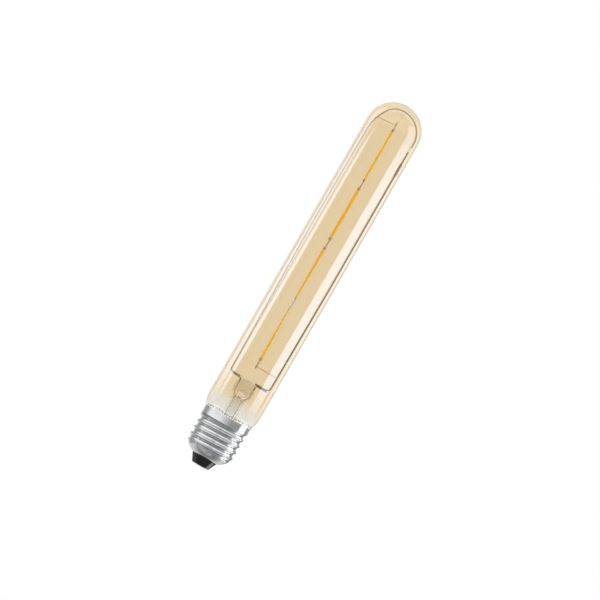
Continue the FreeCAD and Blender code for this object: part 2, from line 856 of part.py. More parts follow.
def board_solder_joints(wires):
    reach = capacitor_length / 2 + capacitor_lead_reach
    domes = [
        solder_dome(-reach, capacitor_z, board_back_y, 1),
        solder_dome(reach, capacitor_z, board_back_y, 1),
        solder_dome(-stem_lead_x, output_lead_z, board_back_y, 1),
        solder_dome(stem_lead_x, output_lead_z, board_back_y, 1),
        solder_dome(0, resistor_lead_z, board_face_y, -1),
        solder_dome(shell_wire_board_x, shell_wire_board_z, board_face_y, -1),
    ]
    return Part.makeCompound([dome.cut(wires) for dome in domes])


def build():
    parts = {}

    left_seal = seal_wire(-1, left_lead_x)
    right_seal = seal_wire(1, right_lead_x)
    left_lead = left_inner_lead()
    right_lead = right_inner_lead()
    left_outer = outer_lead(-1)
    right_outer = outer_lead(1)
    parts["glass_envelope"] = glass_envelope()
    parts["stem_flare"] = stem_flare([left_seal, right_seal, left_lead, right_lead])
    parts["exhaust_tube"] = exhaust_tube()
    parts["left_seal_wire"] = left_seal
    parts["right_seal_wire"] = right_seal
    parts["left_inner_lead"] = left_lead
    parts["right_inner_lead"] = right_lead
    parts["left_outer_lead"] = left_outer
    parts["right_outer_lead"] = right_outer

    rod = right_support_rod()
    tip = right_rod_tip()
    parts["loop_support_wire"] = loop_support_wire()
    parts["right_support_rod"] = rod
    parts["right_rod_tip"] = tip
    parts["rod_sleeve"] = rod_sleeve(rod, tip)

    for index in range(len(filament_tops)):
        name = "filament_%d_" % (index + 1)
        strip = filament_strip(index)
        dies = filament_dies(index, strip)
        parts[name + "strip"] = strip
        parts[name + "dies"] = dies
        parts[name + "coat"] = filament_coat(index, strip, dies)
        parts[name + "top_tab"] = filament_tab(filament_place(index, 0), tab_length, strip)
        parts[name + "bottom_tab"] = filament_tab(filament_place(index, 1), -tab_length, strip)
    for index in range(len(filament_tops) - 1):
        parts["filament_link_%d" % (index + 1)] = filament_link(index)
    last = len(filament_tops) - 1
    parts["top_terminal"] = end_terminal(filament_place(0, 0), -1, top_terminal_z)
    parts["bottom_terminal"] = end_terminal(filament_place(last, 1), 1, bottom_terminal_z)
    parts["top_cross_wire"] = cross_wire(
        filament_x_tops[0] + top_cross_overhang, top_cross_z,
        -top_cross_share * bore_radius, top_cross_z - top_cross_fall, loop_diameter)
    parts["bottom_cross_wire"] = cross_wire(
        filament_x_ends[last] - bottom_cross_overhang, bottom_cross_z,
        rod_foot_x + rod_diameter / 2, bottom_cross_z, rod_diameter)

    capacitor_leads, contact_lead, resistor_lead = board_wires()
    shell_lead = wire_rod(shell_wire_points(), [0.8], component_wire_diameter)
    outer_form = cap_form(0)
    inner_form = cap_form(sheet)
    parts["cap_shell"] = cap_shell(outer_form, inner_form)
    parts["cap_insulator"] = cap_insulator()
    parts["centre_contact"] = centre_contact()
    parts["contact_solder"] = contact_solder(contact_lead)
    cement_bottom = seal_z + seal_arc
    cement_height = collar_top - cement_recess - cement_bottom
    cement = Part.makeCylinder(collar_radius - sheet, cement_height, at(0, cement_bottom))
    parts["cap_cement"] = cement.cut(envelope_form(0))

    board_wires_all = capacitor_leads + [resistor_lead, shell_lead, left_outer, right_outer]
    board = block(
        (2 * board_half_width, board_thickness, board_top_z - board_bottom_z),
        Vector(0, board_face_y + board_thickness / 2, (board_top_z + board_bottom_z) / 2))
    parts["driver_board"] = board.cut(board_wires_all)
    parts["bridge_rectifier"] = chip(rectifier_size, -chip_x, chip_z, board_face_y, -1)
    parts["driver_chip"] = chip(driver_chip_size, chip_x, chip_z, board_face_y, -1)
    parts["smoothing_capacitor"] = smoothing_capacitor(capacitor_leads)
    parts["fusible_resistor"] = fusible_resistor(resistor_lead)
    parts["contact_wire"] = contact_lead
    parts["shell_wire"] = shell_lead
    parts["sense_resistors"] = sense_resistors()
    parts["board_solder_joints"] = board_solder_joints(board_wires_all)
    blob = Part.makeSphere(shell_joint_radius, shell_wire_points()[-1])
    parts["shell_solder_joint"] = blob.common(inner_form).cut(shell_lead)
    return parts


def main():
    os.makedirs("parts", exist_ok=True)
    for name, shape in build().items():
        shape.exportStep("parts/%s.step" % name)
        print(name, shape.ShapeType, len(shape.Solids), shape.isValid(), round(shape.Volume, 3))


main()
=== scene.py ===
# %% [markdown]
# # A tubular light bulb with filament strips
# The bulb is a long glass tube with a round dome, a glass stem with two lead wires, a wire loop
# and a rod that hold four filament strips in a row, and a screw cap with a black glass tip.
# This script keeps the CAD frame, puts each new piece where its CAD node stands, and makes the
# surfaces that light falls on: smooth glass, drawn wire, rolled plated sheet and phosphor.

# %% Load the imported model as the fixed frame
import json
import math
import bpy
import numpy as np
from mathutils import Matrix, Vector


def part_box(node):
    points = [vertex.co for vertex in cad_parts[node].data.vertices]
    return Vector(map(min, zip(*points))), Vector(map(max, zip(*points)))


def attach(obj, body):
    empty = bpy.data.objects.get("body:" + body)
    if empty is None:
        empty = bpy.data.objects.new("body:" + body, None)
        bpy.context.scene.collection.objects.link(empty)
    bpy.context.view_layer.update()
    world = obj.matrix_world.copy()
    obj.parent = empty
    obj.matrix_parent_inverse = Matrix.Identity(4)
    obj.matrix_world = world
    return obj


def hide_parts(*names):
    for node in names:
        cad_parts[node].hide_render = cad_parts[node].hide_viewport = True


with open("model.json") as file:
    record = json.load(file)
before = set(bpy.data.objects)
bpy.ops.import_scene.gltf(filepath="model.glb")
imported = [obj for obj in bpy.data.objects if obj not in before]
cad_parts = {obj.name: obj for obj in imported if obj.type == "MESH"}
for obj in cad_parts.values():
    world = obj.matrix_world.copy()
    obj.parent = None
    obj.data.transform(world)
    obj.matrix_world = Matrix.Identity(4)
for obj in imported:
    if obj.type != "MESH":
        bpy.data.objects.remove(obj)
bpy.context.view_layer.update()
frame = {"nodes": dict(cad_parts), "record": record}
MM = 0.001

# %% [markdown]
# Every new piece is a row of rings. A ring is a closed loop of points, and neighbouring rings
# are joined by four-sided faces. A tube, a lathe shape and a twisted strip are all rows of
# rings, so one function can make the mesh. The ends are closed by a fan to a point, or the
# last ring is joined to the first. The sign of the volume tells which way the faces point.

# %% Rings to a mesh
def ring_faces(rows, around, loop):
    """Four-sided faces between ring i and ring i + 1, as an array of vertex numbers."""
    row = np.arange(rows if loop else rows - 1)[:, None]
    step = np.arange(around)[None, :]
    below = row * around
    above = ((row + 1) % rows) * around
    onward = (step + 1) % around
    return np.stack([below + step, below + onward, above + onward, above + step], axis=-1).reshape(-1, 4)


def signed_volume(points, triangles):
    """Sum of the volumes of the tetrahedra between the origin and each triangle."""
    a, b, c = (points[triangles[:, corner]] for corner in range(3))
    return np.einsum("ij,ij->i", a, np.cross(b, c)).sum() / 6


def skin(name, rings, loop=False, ends=None, crease=40):
    """A closed piece from rings of points in millimetres, shape (rows, around, 3)."""
    rows, around = rings.shape[:2]
    points = rings.reshape(-1, 3)
    quads = ring_faces(rows, around, loop)
    triangles = np.concatenate([quads[:, [0, 1, 2]], quads[:, [0, 2, 3]]])
    fans = np.empty((0, 3), int)
    if not loop:
        tips = ends if ends is not None else (rings[0].mean(0), rings[-1].mean(0))
        points = np.concatenate([points, np.asarray(tips, float).reshape(2, 3)])
        step = np.arange(around)
        onward = (step + 1) % around
        first = np.stack([onward, step, np.full(around, rows * around)], axis=-1)
        top = (rows - 1) * around
        last = np.stack([top + step, top + onward, np.full(around, rows * around + 1)], axis=-1)
        fans = np.concatenate([first, last])
        triangles = np.concatenate([triangles, fans])
    if signed_volume(points, triangles) < 0:
        quads, fans = quads[:, ::-1], fans[:, ::-1]
    mesh = bpy.data.meshes.new(name)
    mesh.from_pydata((points * MM).tolist(), [], quads.tolist() + fans.tolist())
    mesh.shade_smooth()
    mesh.set_sharp_from_angle(angle=math.radians(crease))
    piece = bpy.data.objects.new(name, mesh)
    bpy.context.scene.collection.objects.link(piece)
    return piece


def lathe(name, profile, around=160, loop=False, crease=40):
    """Turn a profile of (radius, height) about the axis: x = r cos t, y = r sin t, z = z."""
    turn = np.linspace(0, math.tau, around, endpoint=False)
    radius, height = np.asarray(profile, float).T
    rings = np.stack([
        radius[:, None] * np.cos(turn),
        radius[:, None] * np.sin(turn),
        np.repeat(height[:, None], around, axis=1),
    ], axis=-1)
    if loop:
        return skin(name, rings, loop=True, crease=crease)
    poles = ((0, 0, height[0]), (0, 0, height[-1]))
    return skin(name, rings[1:-1], ends=poles, crease=crease)


def arc(centre, radius, start, end, count):
    """Points of an arc in a profile: centre + radius (cos a, sin a), with the angle in degrees."""
    angle = np.radians(np.linspace(start, end, count))
    return np.stack([centre[0] + radius * np.cos(angle), centre[1] + radius * np.sin(angle)], axis=-1)


def settle(piece, slot, material, *nodes):
    """Finish a piece: its material, its body and the CAD nodes it stands for. The slot is not used."""
    piece.data.materials.append(material)
    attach(piece, "root")
    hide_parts(*nodes)
    print(piece.name, "has", len(piece.data.polygons), "faces")


# %% [markdown]
# A material starts from what the real surface is. Colours are written as the hex values that a
# paint chart would show, and one function turns them to the linear values a shader needs.
# One more small function adds a node: a keyword that names an input sets it or links it, and
# any other keyword sets a property of the node.

# %% Colours, nodes and materials
def colour(code):
    """sRGB hex code to linear red, green, blue and alpha."""
    channels = [int(code[start:start + 2], 16) / 255 for start in (0, 2, 4)]
    linear = [c / 12.92 if c <= 0.04045 else ((c + 0.055) / 1.055) ** 2.4 for c in channels]
    return (*linear, 1.0)


def add(tree, kind, **settings):
    """Add a node, then set or link each input or property that a keyword names."""
    made = tree.nodes.new(kind)
    for key, value in settings.items():
        label = key.replace("_", " ")
        if label in made.inputs and isinstance(value, bpy.types.NodeSocket):
            tree.links.new(value, made.inputs[label])
        elif label in made.inputs:
            made.inputs[label].default_value = value
        else:
            setattr(made, key, value)
    return made


def start_material(name):
    """A new material with only an output, and the Object coordinates that its patterns read."""
    material = bpy.data.materials.new(name)
    material.use_nodes = True
    tree = material.node_tree
    tree.nodes.clear()
    place = add(tree, "ShaderNodeTexCoord").outputs["Object"]
    return material, tree, place


def finish_material(tree, **settings):
    """Add the main shader with its settings and put it on the output."""
    shader = add(tree, "ShaderNodeBsdfPrincipled", **settings)
    add(tree, "ShaderNodeOutputMaterial", Surface=shader.outputs["BSDF"])


def speckle(tree, place, size_mm, detail=3.0):
    """Noise whose blotches are about size_mm across."""
    return add(tree, "ShaderNodeTexNoise", Vector=place, Scale=1000 / size_mm, Detail=detail).outputs["Fac"]


def ramp(tree, factor, low, high, low_at=0.35, high_at=0.65):
    """Blend from one colour to another as the factor goes from low_at to high_at."""
    made = add(tree, "ShaderNodeValToRGB", Fac=factor)
    made.color_ramp.elements[0].position = low_at
    made.color_ramp.elements[1].position = high_at
    made.color_ramp.elements[0].color = low
    made.color_ramp.elements[1].color = high
    return made.outputs["Color"]


def spread(tree, factor, low, high):
    """Turn a factor of 0.3 to 0.7 into a value from low to high."""
    return add(tree, "ShaderNodeMapRange", Value=factor, From_Min=0.3, From_Max=0.7,
               To_Min=low, To_Max=high).outputs["Result"]


def bump(tree, height, depth_mm):
    """Small relief whose full height is depth_mm."""
    return add(tree, "ShaderNodeBump", Height=height, Distance=depth_mm * MM).outputs["Normal"]


def plain_finish(name, low, high, size_mm, roughness, relief_mm=0.0, **settings):
    """A finish whose colour and roughness wander between two values on one scale."""
    material, tree, place = start_material(name)
    noise = speckle(tree, place, size_mm)
    if relief_mm:
        settings["Normal"] = bump(tree, noise, relief_mm)
    finish_material(
        tree,
        Base_Color=ramp(tree, noise, colour(low), colour(high)),
        Roughness=spread(tree, noise, roughness[0], roughness[1]),
        **settings)
    return material


# %% [markdown]
# ## The amber glass tube
# The bulb is blown soda-lime glass with a see-through amber stain that fades out above the neck.
# A thin glass shows its colour twice, on the near and the far wall, so the stain is the square
# root of what the eye sees. The stain follows the height, which is the Z of Object coordinates.
# The outer side also has a clear coat with a high index. The real bulb has no such lacquer: it is
# there for the look, because bare glass mirrored this studio less than the photograph shows.

# %% Amber glass
glass_index, lacquer_index = 1.5, 2.0
stain_start, stain_end, stain_wander = 33.0, 45.0, 4.0


def stained_glass(name, **coat):
    """Clear glass that turns amber over 12 mm of height, a little unevenly, and may have a coat."""
    material, tree, place = start_material(name)
    height = add(tree, "ShaderNodeSeparateXYZ", Vector=place).outputs["Z"]
    uneven = speckle(tree, place, 14.0, detail=1.0)
    shift = add(tree, "ShaderNodeMath", operation="MULTIPLY_ADD")
    tree.links.new(uneven, shift.inputs[0])
    shift.inputs[1].default_value = stain_wander * MM
    tree.links.new(height, shift.inputs[2])
    fade = add(tree, "ShaderNodeMapRange", Value=shift.outputs["Value"], From_Min=stain_start * MM,
               From_Max=stain_end * MM, interpolation_type="SMOOTHSTEP").outputs["Result"]
    stain = add(tree, "ShaderNodeMix", data_type="RGBA")
    tree.links.new(fade, stain.inputs["Factor"])
    stain.inputs[6].default_value = colour("F8F8F6")
    stain.inputs[7].default_value = colour("F8ECD4")
    finish_material(tree, Base_Color=stain.outputs[2], Roughness=0.0, IOR=glass_index,
                    Transmission_Weight=1.0, **coat)
    return material


amber_glass = stained_glass("blown_soda_lime_glass_with_amber_stain")
lacquered_glass = stained_glass("amber_glass_under_hard_bright_lacquer", Coat_Weight=1.0, Coat_Roughness=0.0,
                                Coat_IOR=lacquer_index)
print("amber glass:", amber_glass.name, lacquered_glass.name)

# %% [markdown]
# The tube is turned from one profile. It runs down the outside from the top of the dome, past
# the shoulder and the little lip over the collar, round the seal, and up the inside again.
# Each stretch is an arc that leaves the one before it in the same direction, so the light
# strips on the glass run on without a kink.

# %% Glass tube
tube_low, tube_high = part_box("glass_envelope")
tube_radius = tube_high.x / MM
tube_top = tube_high.z / MM
glass_wall = 0.9
shoulder_height, shoulder_arc = 36.5, 15.7
lip_height, lip_arc = 30.3, 1.3
neck_radius, neck_fillet = 12.8, 0.6
seal_arc = 1.6
seal_height = tube_low.z / MM
seal_radius = 10.3
dome_height = tube_top - tube_radius


def glass_profile(inset):
    """Profile of the outside, or of the inside when the wall is given as inset, from the top down."""
    shoulder = (tube_radius - shoulder_arc, shoulder_height)
    lip_start = math.degrees(math.asin((lip_height - shoulder_height) / shoulder_arc))
    lip = arc(shoulder, shoulder_arc - lip_arc, lip_start, lip_start, 1)[0]
    reach = lip_arc + neck_fillet
    lip_end = -math.degrees(math.acos((neck_radius + neck_fillet - lip[0]) / reach))
    fillet = arc(lip, reach, lip_end, lip_end, 1)[0]
    seal = (neck_radius - seal_arc, seal_height + seal_arc)
    straight = np.linspace(dome_height, shoulder_height, 60)[1:-1]
    return np.concatenate([
        arc((0, dome_height), tube_radius - inset, 90, 0, 64),
        np.stack([np.full_like(straight, tube_radius - inset), straight], axis=-1),
        arc(shoulder, shoulder_arc - inset, 0, lip_start, 24),
        arc(lip, lip_arc - inset, lip_start, lip_end, 10)[1:],
        arc(fillet, neck_fillet + inset, 180 + lip_end, 180, 8)[1:],
        arc(seal, seal_arc - inset, 0, -90, 12),
        [(seal_radius, seal_height + inset)],
    ])


glass_around = 192
glass_outside, glass_inside = glass_profile(0), glass_profile(glass_wall)[::-1]
glass_tube = lathe("glass_tube", np.concatenate([glass_outside, glass_inside]), around=glass_around)
settle(glass_tube, "amber_glass", amber_glass, "glass_envelope")
glass_tube.data.materials.append(lacquered_glass)

# The outer side's rows come first in the mesh, and the fan at the dome's pole first after all rows.
outer_quads = (len(glass_outside) - 2) * glass_around
pole_fan = (len(glass_outside) + len(glass_inside) - 3) * glass_around
skin_choice = np.zeros(len(glass_tube.data.polygons), np.int32)
skin_choice[:outer_quads] = 1
skin_choice[pole_fan:pole_fan + glass_around] = 1
glass_tube.data.polygons.foreach_set("material_index", skin_choice)
print("lacquered faces:", int(skin_choice.sum()))

# %% [markdown]
# ## The glass stem
# The stem is drawn lead-free glass. Its flare and tube are turned, and above them the hot tube
# is pressed flat round the wires. The outline goes over from a circle to a rounded rectangle,
# which a super-ellipse gives with one formula: its power grows from 2 to 4. A small hole is
# blown from the exhaust tube to the inside of the bulb. Real clear glass looks darker at its
# edges, where it bends dark surroundings into view. This studio is pale nearly everywhere, so
# the finish paints a little shade on the edges and on the pinch instead.

# %% Stem
pinch_shade_start, pinch_shade_end = 42.0, 44.5


def soft_clear_glass(name, tint, painted_edge_shade):
    """Clear glass, a little wavy from being drawn, with painted shade at its edges and in the pinch."""
    material, tree, place = start_material(name)
    waves = speckle(tree, place, 2.5, detail=1.0)
    # Painted shade: the glass darkens towards its edges.
    facing = add(tree, "ShaderNodeLayerWeight", Blend=0.5).outputs["Facing"]
    edge = ramp(tree, facing, colour(tint), colour(painted_edge_shade), 0.78, 0.97)
    # Painted shade: the glass darkens from 42 mm up into the pinch.
    height = add(tree, "ShaderNodeSeparateXYZ", Vector=place).outputs["Z"]
    pressed = add(tree, "ShaderNodeMapRange", Value=height, From_Min=pinch_shade_start * MM,
                  From_Max=pinch_shade_end * MM).outputs["Result"]
    shade = ramp(tree, pressed, colour("FFFFFF"), colour("E9E7E2"), 0.0, 1.0)
    tinted = add(tree, "ShaderNodeMix", data_type="RGBA", blend_type="MULTIPLY")
    tinted.inputs["Factor"].default_value = 1.0
    tree.links.new(edge, tinted.inputs[6])
    tree.links.new(shade, tinted.inputs[7])
    finish_material(tree, Base_Color=tinted.outputs[2], Roughness=0.0, IOR=glass_index,
                    Transmission_Weight=1.0, Normal=bump(tree, waves, 0.08))
    return material


# The last colour is the painted shade at the stem's edges.
stem_glass = soft_clear_glass("drawn_and_pressed_stem_glass", "FCFCFB", "9A9486")


def power_ring(half_width, half_depth, power, around):
    """Super-ellipse: x = a sign(cos t)|cos t|^(2/p), y = b sign(sin t)|sin t|^(2/p)."""
    turn = np.linspace(0, math.tau, around, endpoint=False)
    across, along = np.cos(turn), np.sin(turn)
    x = half_width[:, None] * np.sign(across) * np.abs(across) ** (2 / power[:, None])
    y = half_depth[:, None] * np.sign(along) * np.abs(along) ** (2 / power[:, None])
    return x, y


def blend_along(heights, table):
    """Smooth values at the heights, from rows of (height, width, depth, power)."""
    knots = np.asarray(table, float)
    share = np.interp(heights, knots[:, 0], np.arange(len(knots)))
    step = np.clip(np.floor(share).astype(int), 0, len(knots) - 2)
    ease = share - step
    ease = ease * ease * (3 - 2 * ease) * 0.5 + ease * 0.5
    lower, higher = knots[step, 1:], knots[step + 1, 1:]
    return (lower + ease[:, None] * (higher - lower)).T


stem_radius, stem_wall, flare_arc = 3.6, 0.9, 6.0
flare_height = seal_height + flare_arc
flare_centre = (stem_radius + flare_arc, flare_height)
rim_radius = 11.2
pinch_top, pinch_foot, bore_top = 50.9, 38.0, 40.5
pinch_pole, bore_pole = 51.1, 40.55
pinch_table = [(pinch_foot, 3.6, 3.6, 2.0), (39.3, 3.9, 3.4, 2.1), (40.5, 4.6, 2.9, 2.4),
               (42.9, 5.4, 2.2, 3.2), (46.0, 5.7, 1.8, 4.0), (48.9, 5.3, 1.8, 3.6),
               (50.3, 4.2, 1.5, 3.0), (pinch_top, 2.6, 1.0, 2.4)]
bore_table = [(pinch_foot, 2.7, 2.7, 2.0), (39.3, 2.9, 2.5, 2.1), (40.2, 2.6, 2.1, 2.2),
              (bore_top, 1.9, 1.5, 2.2)]
hole_centre, hole_reach = 42.7, 2.8
hole_half_width, hole_half_height = 2.0, 1.35


def stem_rings(around=96):
    """Rings from the dome of the pinch down the outside, round the rim and up the bore."""
    pinch_heights = np.linspace(pinch_top, pinch_foot, 70)
    width, depth, power = blend_along(pinch_heights, pinch_table)
    outside_x, outside_y = power_ring(width, depth, power, around)
    flare = np.concatenate([
        arc(flare_centre, flare_arc, 180, 270, 40),
        [(rim_radius, seal_height)],
        [(rim_radius, seal_height - stem_wall)],
        arc(flare_centre, flare_arc + stem_wall, 270, 180, 40),
    ])
    turned_x, turned_y = power_ring(flare[:, 0], flare[:, 0], np.full(len(flare), 2.0), around)
    bore_heights = np.linspace(pinch_foot, bore_top, 24)
    width, depth, power = blend_along(bore_heights, bore_table)
    inside_x, inside_y = power_ring(width, depth, power, around)
    x = np.concatenate([outside_x, turned_x, inside_x])
    y = np.concatenate([outside_y, turned_y, inside_y])
    z = np.concatenate([pinch_heights, flare[:, 1], bore_heights])
    return np.stack([x, y, np.repeat(z[:, None], around, axis=1)], axis=-1)


def blown_hole_rings(around=72):
    """Ovals across the pinch with a soft rim: they widen with the sixth power of the depth."""
    depth = np.linspace(-hole_reach, hole_reach, 41)
    rim = (np.abs(depth) / 2.1) ** 6
    turn = np.linspace(0, math.tau, around, endpoint=False)
    x = (hole_half_width + 0.35 * rim)[:, None] * np.cos(turn)
    z = hole_centre + (hole_half_height + 0.3 * rim)[:, None] * np.sin(turn)
    return np.stack([x, np.repeat(depth[:, None], around, axis=1), z], axis=-1)


def carve(piece, cutter):
    """Cut one closed piece out of another and keep the result as a plain mesh."""
    cut = piece.modifiers.new("cut", "BOOLEAN")
    cut.operation, cut.object, cut.solver = "DIFFERENCE", cutter, "EXACT"
    evaluated = piece.evaluated_get(bpy.context.evaluated_depsgraph_get())
    piece.data = bpy.data.meshes.new_from_object(evaluated)
    piece.modifiers.clear()
    bpy.data.objects.remove(cutter)
    piece.data.set_sharp_from_angle(angle=math.radians(50))


stem = skin("stem", stem_rings(), ends=((0, 0, pinch_pole), (0, 0, bore_pole)), crease=60)
carve(stem, skin("blown_hole", blown_hole_rings()))
settle(stem, "clear_glass", stem_glass, "stem_flare")

# %% [markdown]
# The exhaust tube is the thin tube that the air was pumped out through. It was melted shut at
# its lower end. In the photograph it is almost invisible, and glass that bends and mirrors light
# as real glass does drew two dark lines here. So this finish is a simpler one: see-through, with
# painted shade towards the sides, a very small mirror share and a faint painted glow low down.
# Its index and the strength of its glow were chosen.

# %% Exhaust tube
faint_index = 1.03
# The painted glow fades out between these heights, and this is its strength at the foot.
painted_glow_start, painted_glow_end, painted_glow_level = 33.0, 40.0, 0.035


def thin_tube_glass():
    """See-through glass with painted shade at grazing angles, a small Fresnel mirror share and a painted
    glow.
    """
    material, tree, place = start_material("thin_drawn_tube_glass")
    facing = add(tree, "ShaderNodeLayerWeight", Blend=0.5).outputs["Facing"]
    # Painted shade: the glass darkens towards grazing angles, at the tube's sides.
    tint = ramp(tree, facing, colour("FBFBF9"), colour("EAE8E2"), 0.7, 0.97)
    through = add(tree, "ShaderNodeBsdfTransparent", Color=tint).outputs["BSDF"]
    wavy = bump(tree, speckle(tree, place, 4.0, detail=1.0), 0.05)
    mirror = add(tree, "ShaderNodeBsdfGlossy", Roughness=0.02, Normal=wavy).outputs["BSDF"]
    share = add(tree, "ShaderNodeFresnel", IOR=faint_index).outputs["Fac"]
    mixed = add(tree, "ShaderNodeMixShader", Fac=share)
    tree.links.new(through, mixed.inputs[1])
    tree.links.new(mirror, mixed.inputs[2])
    # Painted glow: an emission that lightens the tube low down and fades out upwards.
    height = add(tree, "ShaderNodeSeparateXYZ", Vector=place).outputs["Z"]
    level = add(tree, "ShaderNodeMapRange", Value=height, From_Min=painted_glow_start * MM,
                From_Max=painted_glow_end * MM, To_Min=painted_glow_level, To_Max=0.0).outputs["Result"]
    painted_glow = add(tree, "ShaderNodeEmission", Color=colour("F4F1EC"), Strength=level).outputs["Emission"]
    both = add(tree, "ShaderNodeAddShader")
    tree.links.new(mixed.outputs["Shader"], both.inputs[0])
    tree.links.new(painted_glow, both.inputs[1])
    add(tree, "ShaderNodeOutputMaterial", Surface=both.outputs["Shader"])
    return material


exhaust_radius, exhaust_bore = 1.85, 0.95
tip_height, pinch_floor = 17.0, 40.4
exhaust_wall = exhaust_radius - exhaust_bore
tip_centre = tip_height + exhaust_radius
exhaust = lathe("exhaust_tube_glass", np.concatenate([
    arc((0, tip_centre), exhaust_radius, -90, 0, 16),
    [(exhaust_radius, pinch_floor)],
    [(exhaust_bore, pinch_floor)],
    [(exhaust_bore, tip_centre + 2)],
    [(exhaust_bore * 0.5, tip_centre + exhaust_wall)],
    [(0, tip_centre + exhaust_wall - 0.3)],
]), around=64)
settle(exhaust, "clear_glass", thin_tube_glass(), "exhaust_tube")

# %% [markdown]
# ## Wires
# A wire is a circle carried along a path of straight runs and tangent arcs, like the real wire
# that was bent round pins. All of these paths lie in the plane of the axis, so the circle's two
# directions are the plane's own normal and the one square to the path. Some of the finishes have
# a weak emission. Real wire doesn't glow: it stands in for light that this studio lacks.

# %% Paths and tubes
def bent_path(corners, bends, spacing=0.25):
    """Straight runs through the corners, with an arc of the given radius at each inner corner.

    On an arc, the line from its centre is (sin((1 - s) a) first + sin(s a) last) / sin a.
    """
    corners = np.asarray(corners, float)
    pieces = [corners[:1]]
    for before, corner, after, radius in zip(corners, corners[1:], corners[2:], bends):
        back = (before - corner) / np.linalg.norm(before - corner)
        onward = (after - corner) / np.linalg.norm(after - corner)
        half_turn = (math.pi - math.acos(np.clip(back @ onward, -1, 1))) / 2
        reach = radius * math.tan(half_turn)
        inward = (back + onward) / np.linalg.norm(back + onward)
        centre = corner + inward * radius / math.cos(half_turn)
        count = max(6, int(2 * half_turn * radius / spacing), int(math.degrees(2 * half_turn) / 4))
        first, last = corner + back * reach - centre, corner + onward * reach - centre
        share = np.linspace(0, 1, count)[:, None]
        sweep = 2 * half_turn
        turned = np.sin((1 - share) * sweep) * first + np.sin(share * sweep) * last
        pieces.append(centre + turned / math.sin(sweep))
    pieces.append(corners[-1:])
    return np.concatenate(pieces)


def tube_rings(path, radius, around=20):
    """Circles of a radius about each point of a path, and smaller ones that close its two flat ends."""
    path = np.asarray(path, float)
    radius = np.broadcast_to(np.asarray(radius, float), len(path))
    ahead = np.gradient(path, axis=0)
    ahead /= np.linalg.norm(ahead, axis=1)[:, None]
    side = np.cross(ahead, (0.0, 1.0, 0.0))
    side /= np.linalg.norm(side, axis=1)[:, None]
    up = np.cross(side, ahead)
    turn = np.linspace(0, math.tau, around, endpoint=False)
    circle = np.cos(turn)[None, :, None] * side[:, None] + np.sin(turn)[None, :, None] * up[:, None]
    body = path[:, None] + radius[:, None, None] * circle
    width = np.array([0.3, 0.65, 0.9])[:, None, None]
    first = path[0] + radius[0] * width * circle[:1]
    last = path[-1] + radius[-1] * width[::-1] * circle[-1:]
    return np.concatenate([first, body, last])


def in_plane(*points):
    """Points of the axis plane from (x, z) pairs."""
    return np.array([(x, 0.0, z) for x, z in points])


wire_metal = plain_finish("drawn_nickel_plated_wire", "8A7F6C", "A09580", 1.2, (0.28, 0.42), relief_mm=0.01,
                          Metallic=1.0, Emission_Color=colour("C0A878"), Emission_Strength=0.18)
rod_metal = plain_finish("drawn_nickel_rod", "6A6256", "817869", 1.2, (0.28, 0.42),
                         relief_mm=0.01, Metallic=1.0)
copper_metal = plain_finish("borated_copper_clad_wire", "B4A899", "C6BBAC", 0.8, (0.3, 0.45),
                            relief_mm=0.01, Emission_Color=colour("D8CFC2"), Emission_Strength=0.45)
print("wire finishes:", wire_metal.name, rod_metal.name, copper_metal.name)

# %% [markdown]
# The leads come up through the pinch, bend outwards and make the two arms. The loop wire is
# welded on the left arm and goes over the dome; the rod is welded on the right arm. A real weld
# squeezes two wires together a little. Here each keeps its full round, and they lie a hundredth
# of a millimetre apart.

# %% Leads, loop and rod
weld_gap = 0.01
bore_radius = tube_radius - glass_wall
lead_width, loop_width, rod_width, tip_width, sleeve_width = 0.6, 0.75, 0.9, 0.8, 1.5
left_arm, right_arm, arm_rise = 50.2, 50.3, 0.35
left_lead_x, right_lead_x = 4.0, 4.45
left_arm_end, right_arm_end = 9.8, 11.1
arm_slope = arm_rise / (left_arm_end - left_lead_x)
pinch_wire_end = 47.8

left_lead = bent_path(in_plane((-left_lead_x, pinch_wire_end), (-left_lead_x, left_arm),
                               (-left_arm_end, left_arm + arm_rise)), [0.9])
right_lead = bent_path(in_plane((right_lead_x, pinch_wire_end), (right_lead_x, right_arm),
                                (right_arm_end, right_arm)), [0.9])
loop_lift = ((lead_width + loop_width) / 2 + weld_gap) * math.hypot(1, arm_slope)
loop_foot, loop_corner = 5.2, 11.15
crown = dome_height + 0.833 * bore_radius
loop_path = bent_path(in_plane(
    (-loop_foot, left_arm + arm_slope * (loop_foot - left_lead_x) + loop_lift),
    (-loop_corner, left_arm + arm_slope * (loop_corner - left_lead_x) + loop_lift),
    (-0.887 * bore_radius, dome_height - 60.8),
    (-0.862 * bore_radius, dome_height + 0.028 * bore_radius),
    (-0.402 * bore_radius, crown),
    (0.915 * bore_radius, crown),
    (0.915 * bore_radius, dome_height - 2.9)),
    [1.5, 600.0, 1.49 * bore_radius, 0.677 * bore_radius, 0.894 * bore_radius])
rod_foot = right_arm + (lead_width + rod_width) / 2 + weld_gap
rod_knee, rod_joint = (12.75, 115.0), (12.57, 184.5)
rod_path = bent_path(in_plane((3.7, rod_foot), (11.95, rod_foot), rod_knee, rod_joint), [2.2, 400.0])


def on_rod(height):
    """Point on the straight part of the rod at a height."""
    lean = (rod_joint[0] - rod_knee[0]) / (rod_joint[1] - rod_knee[1])
    return rod_joint[0] + lean * (height - rod_joint[1]), height


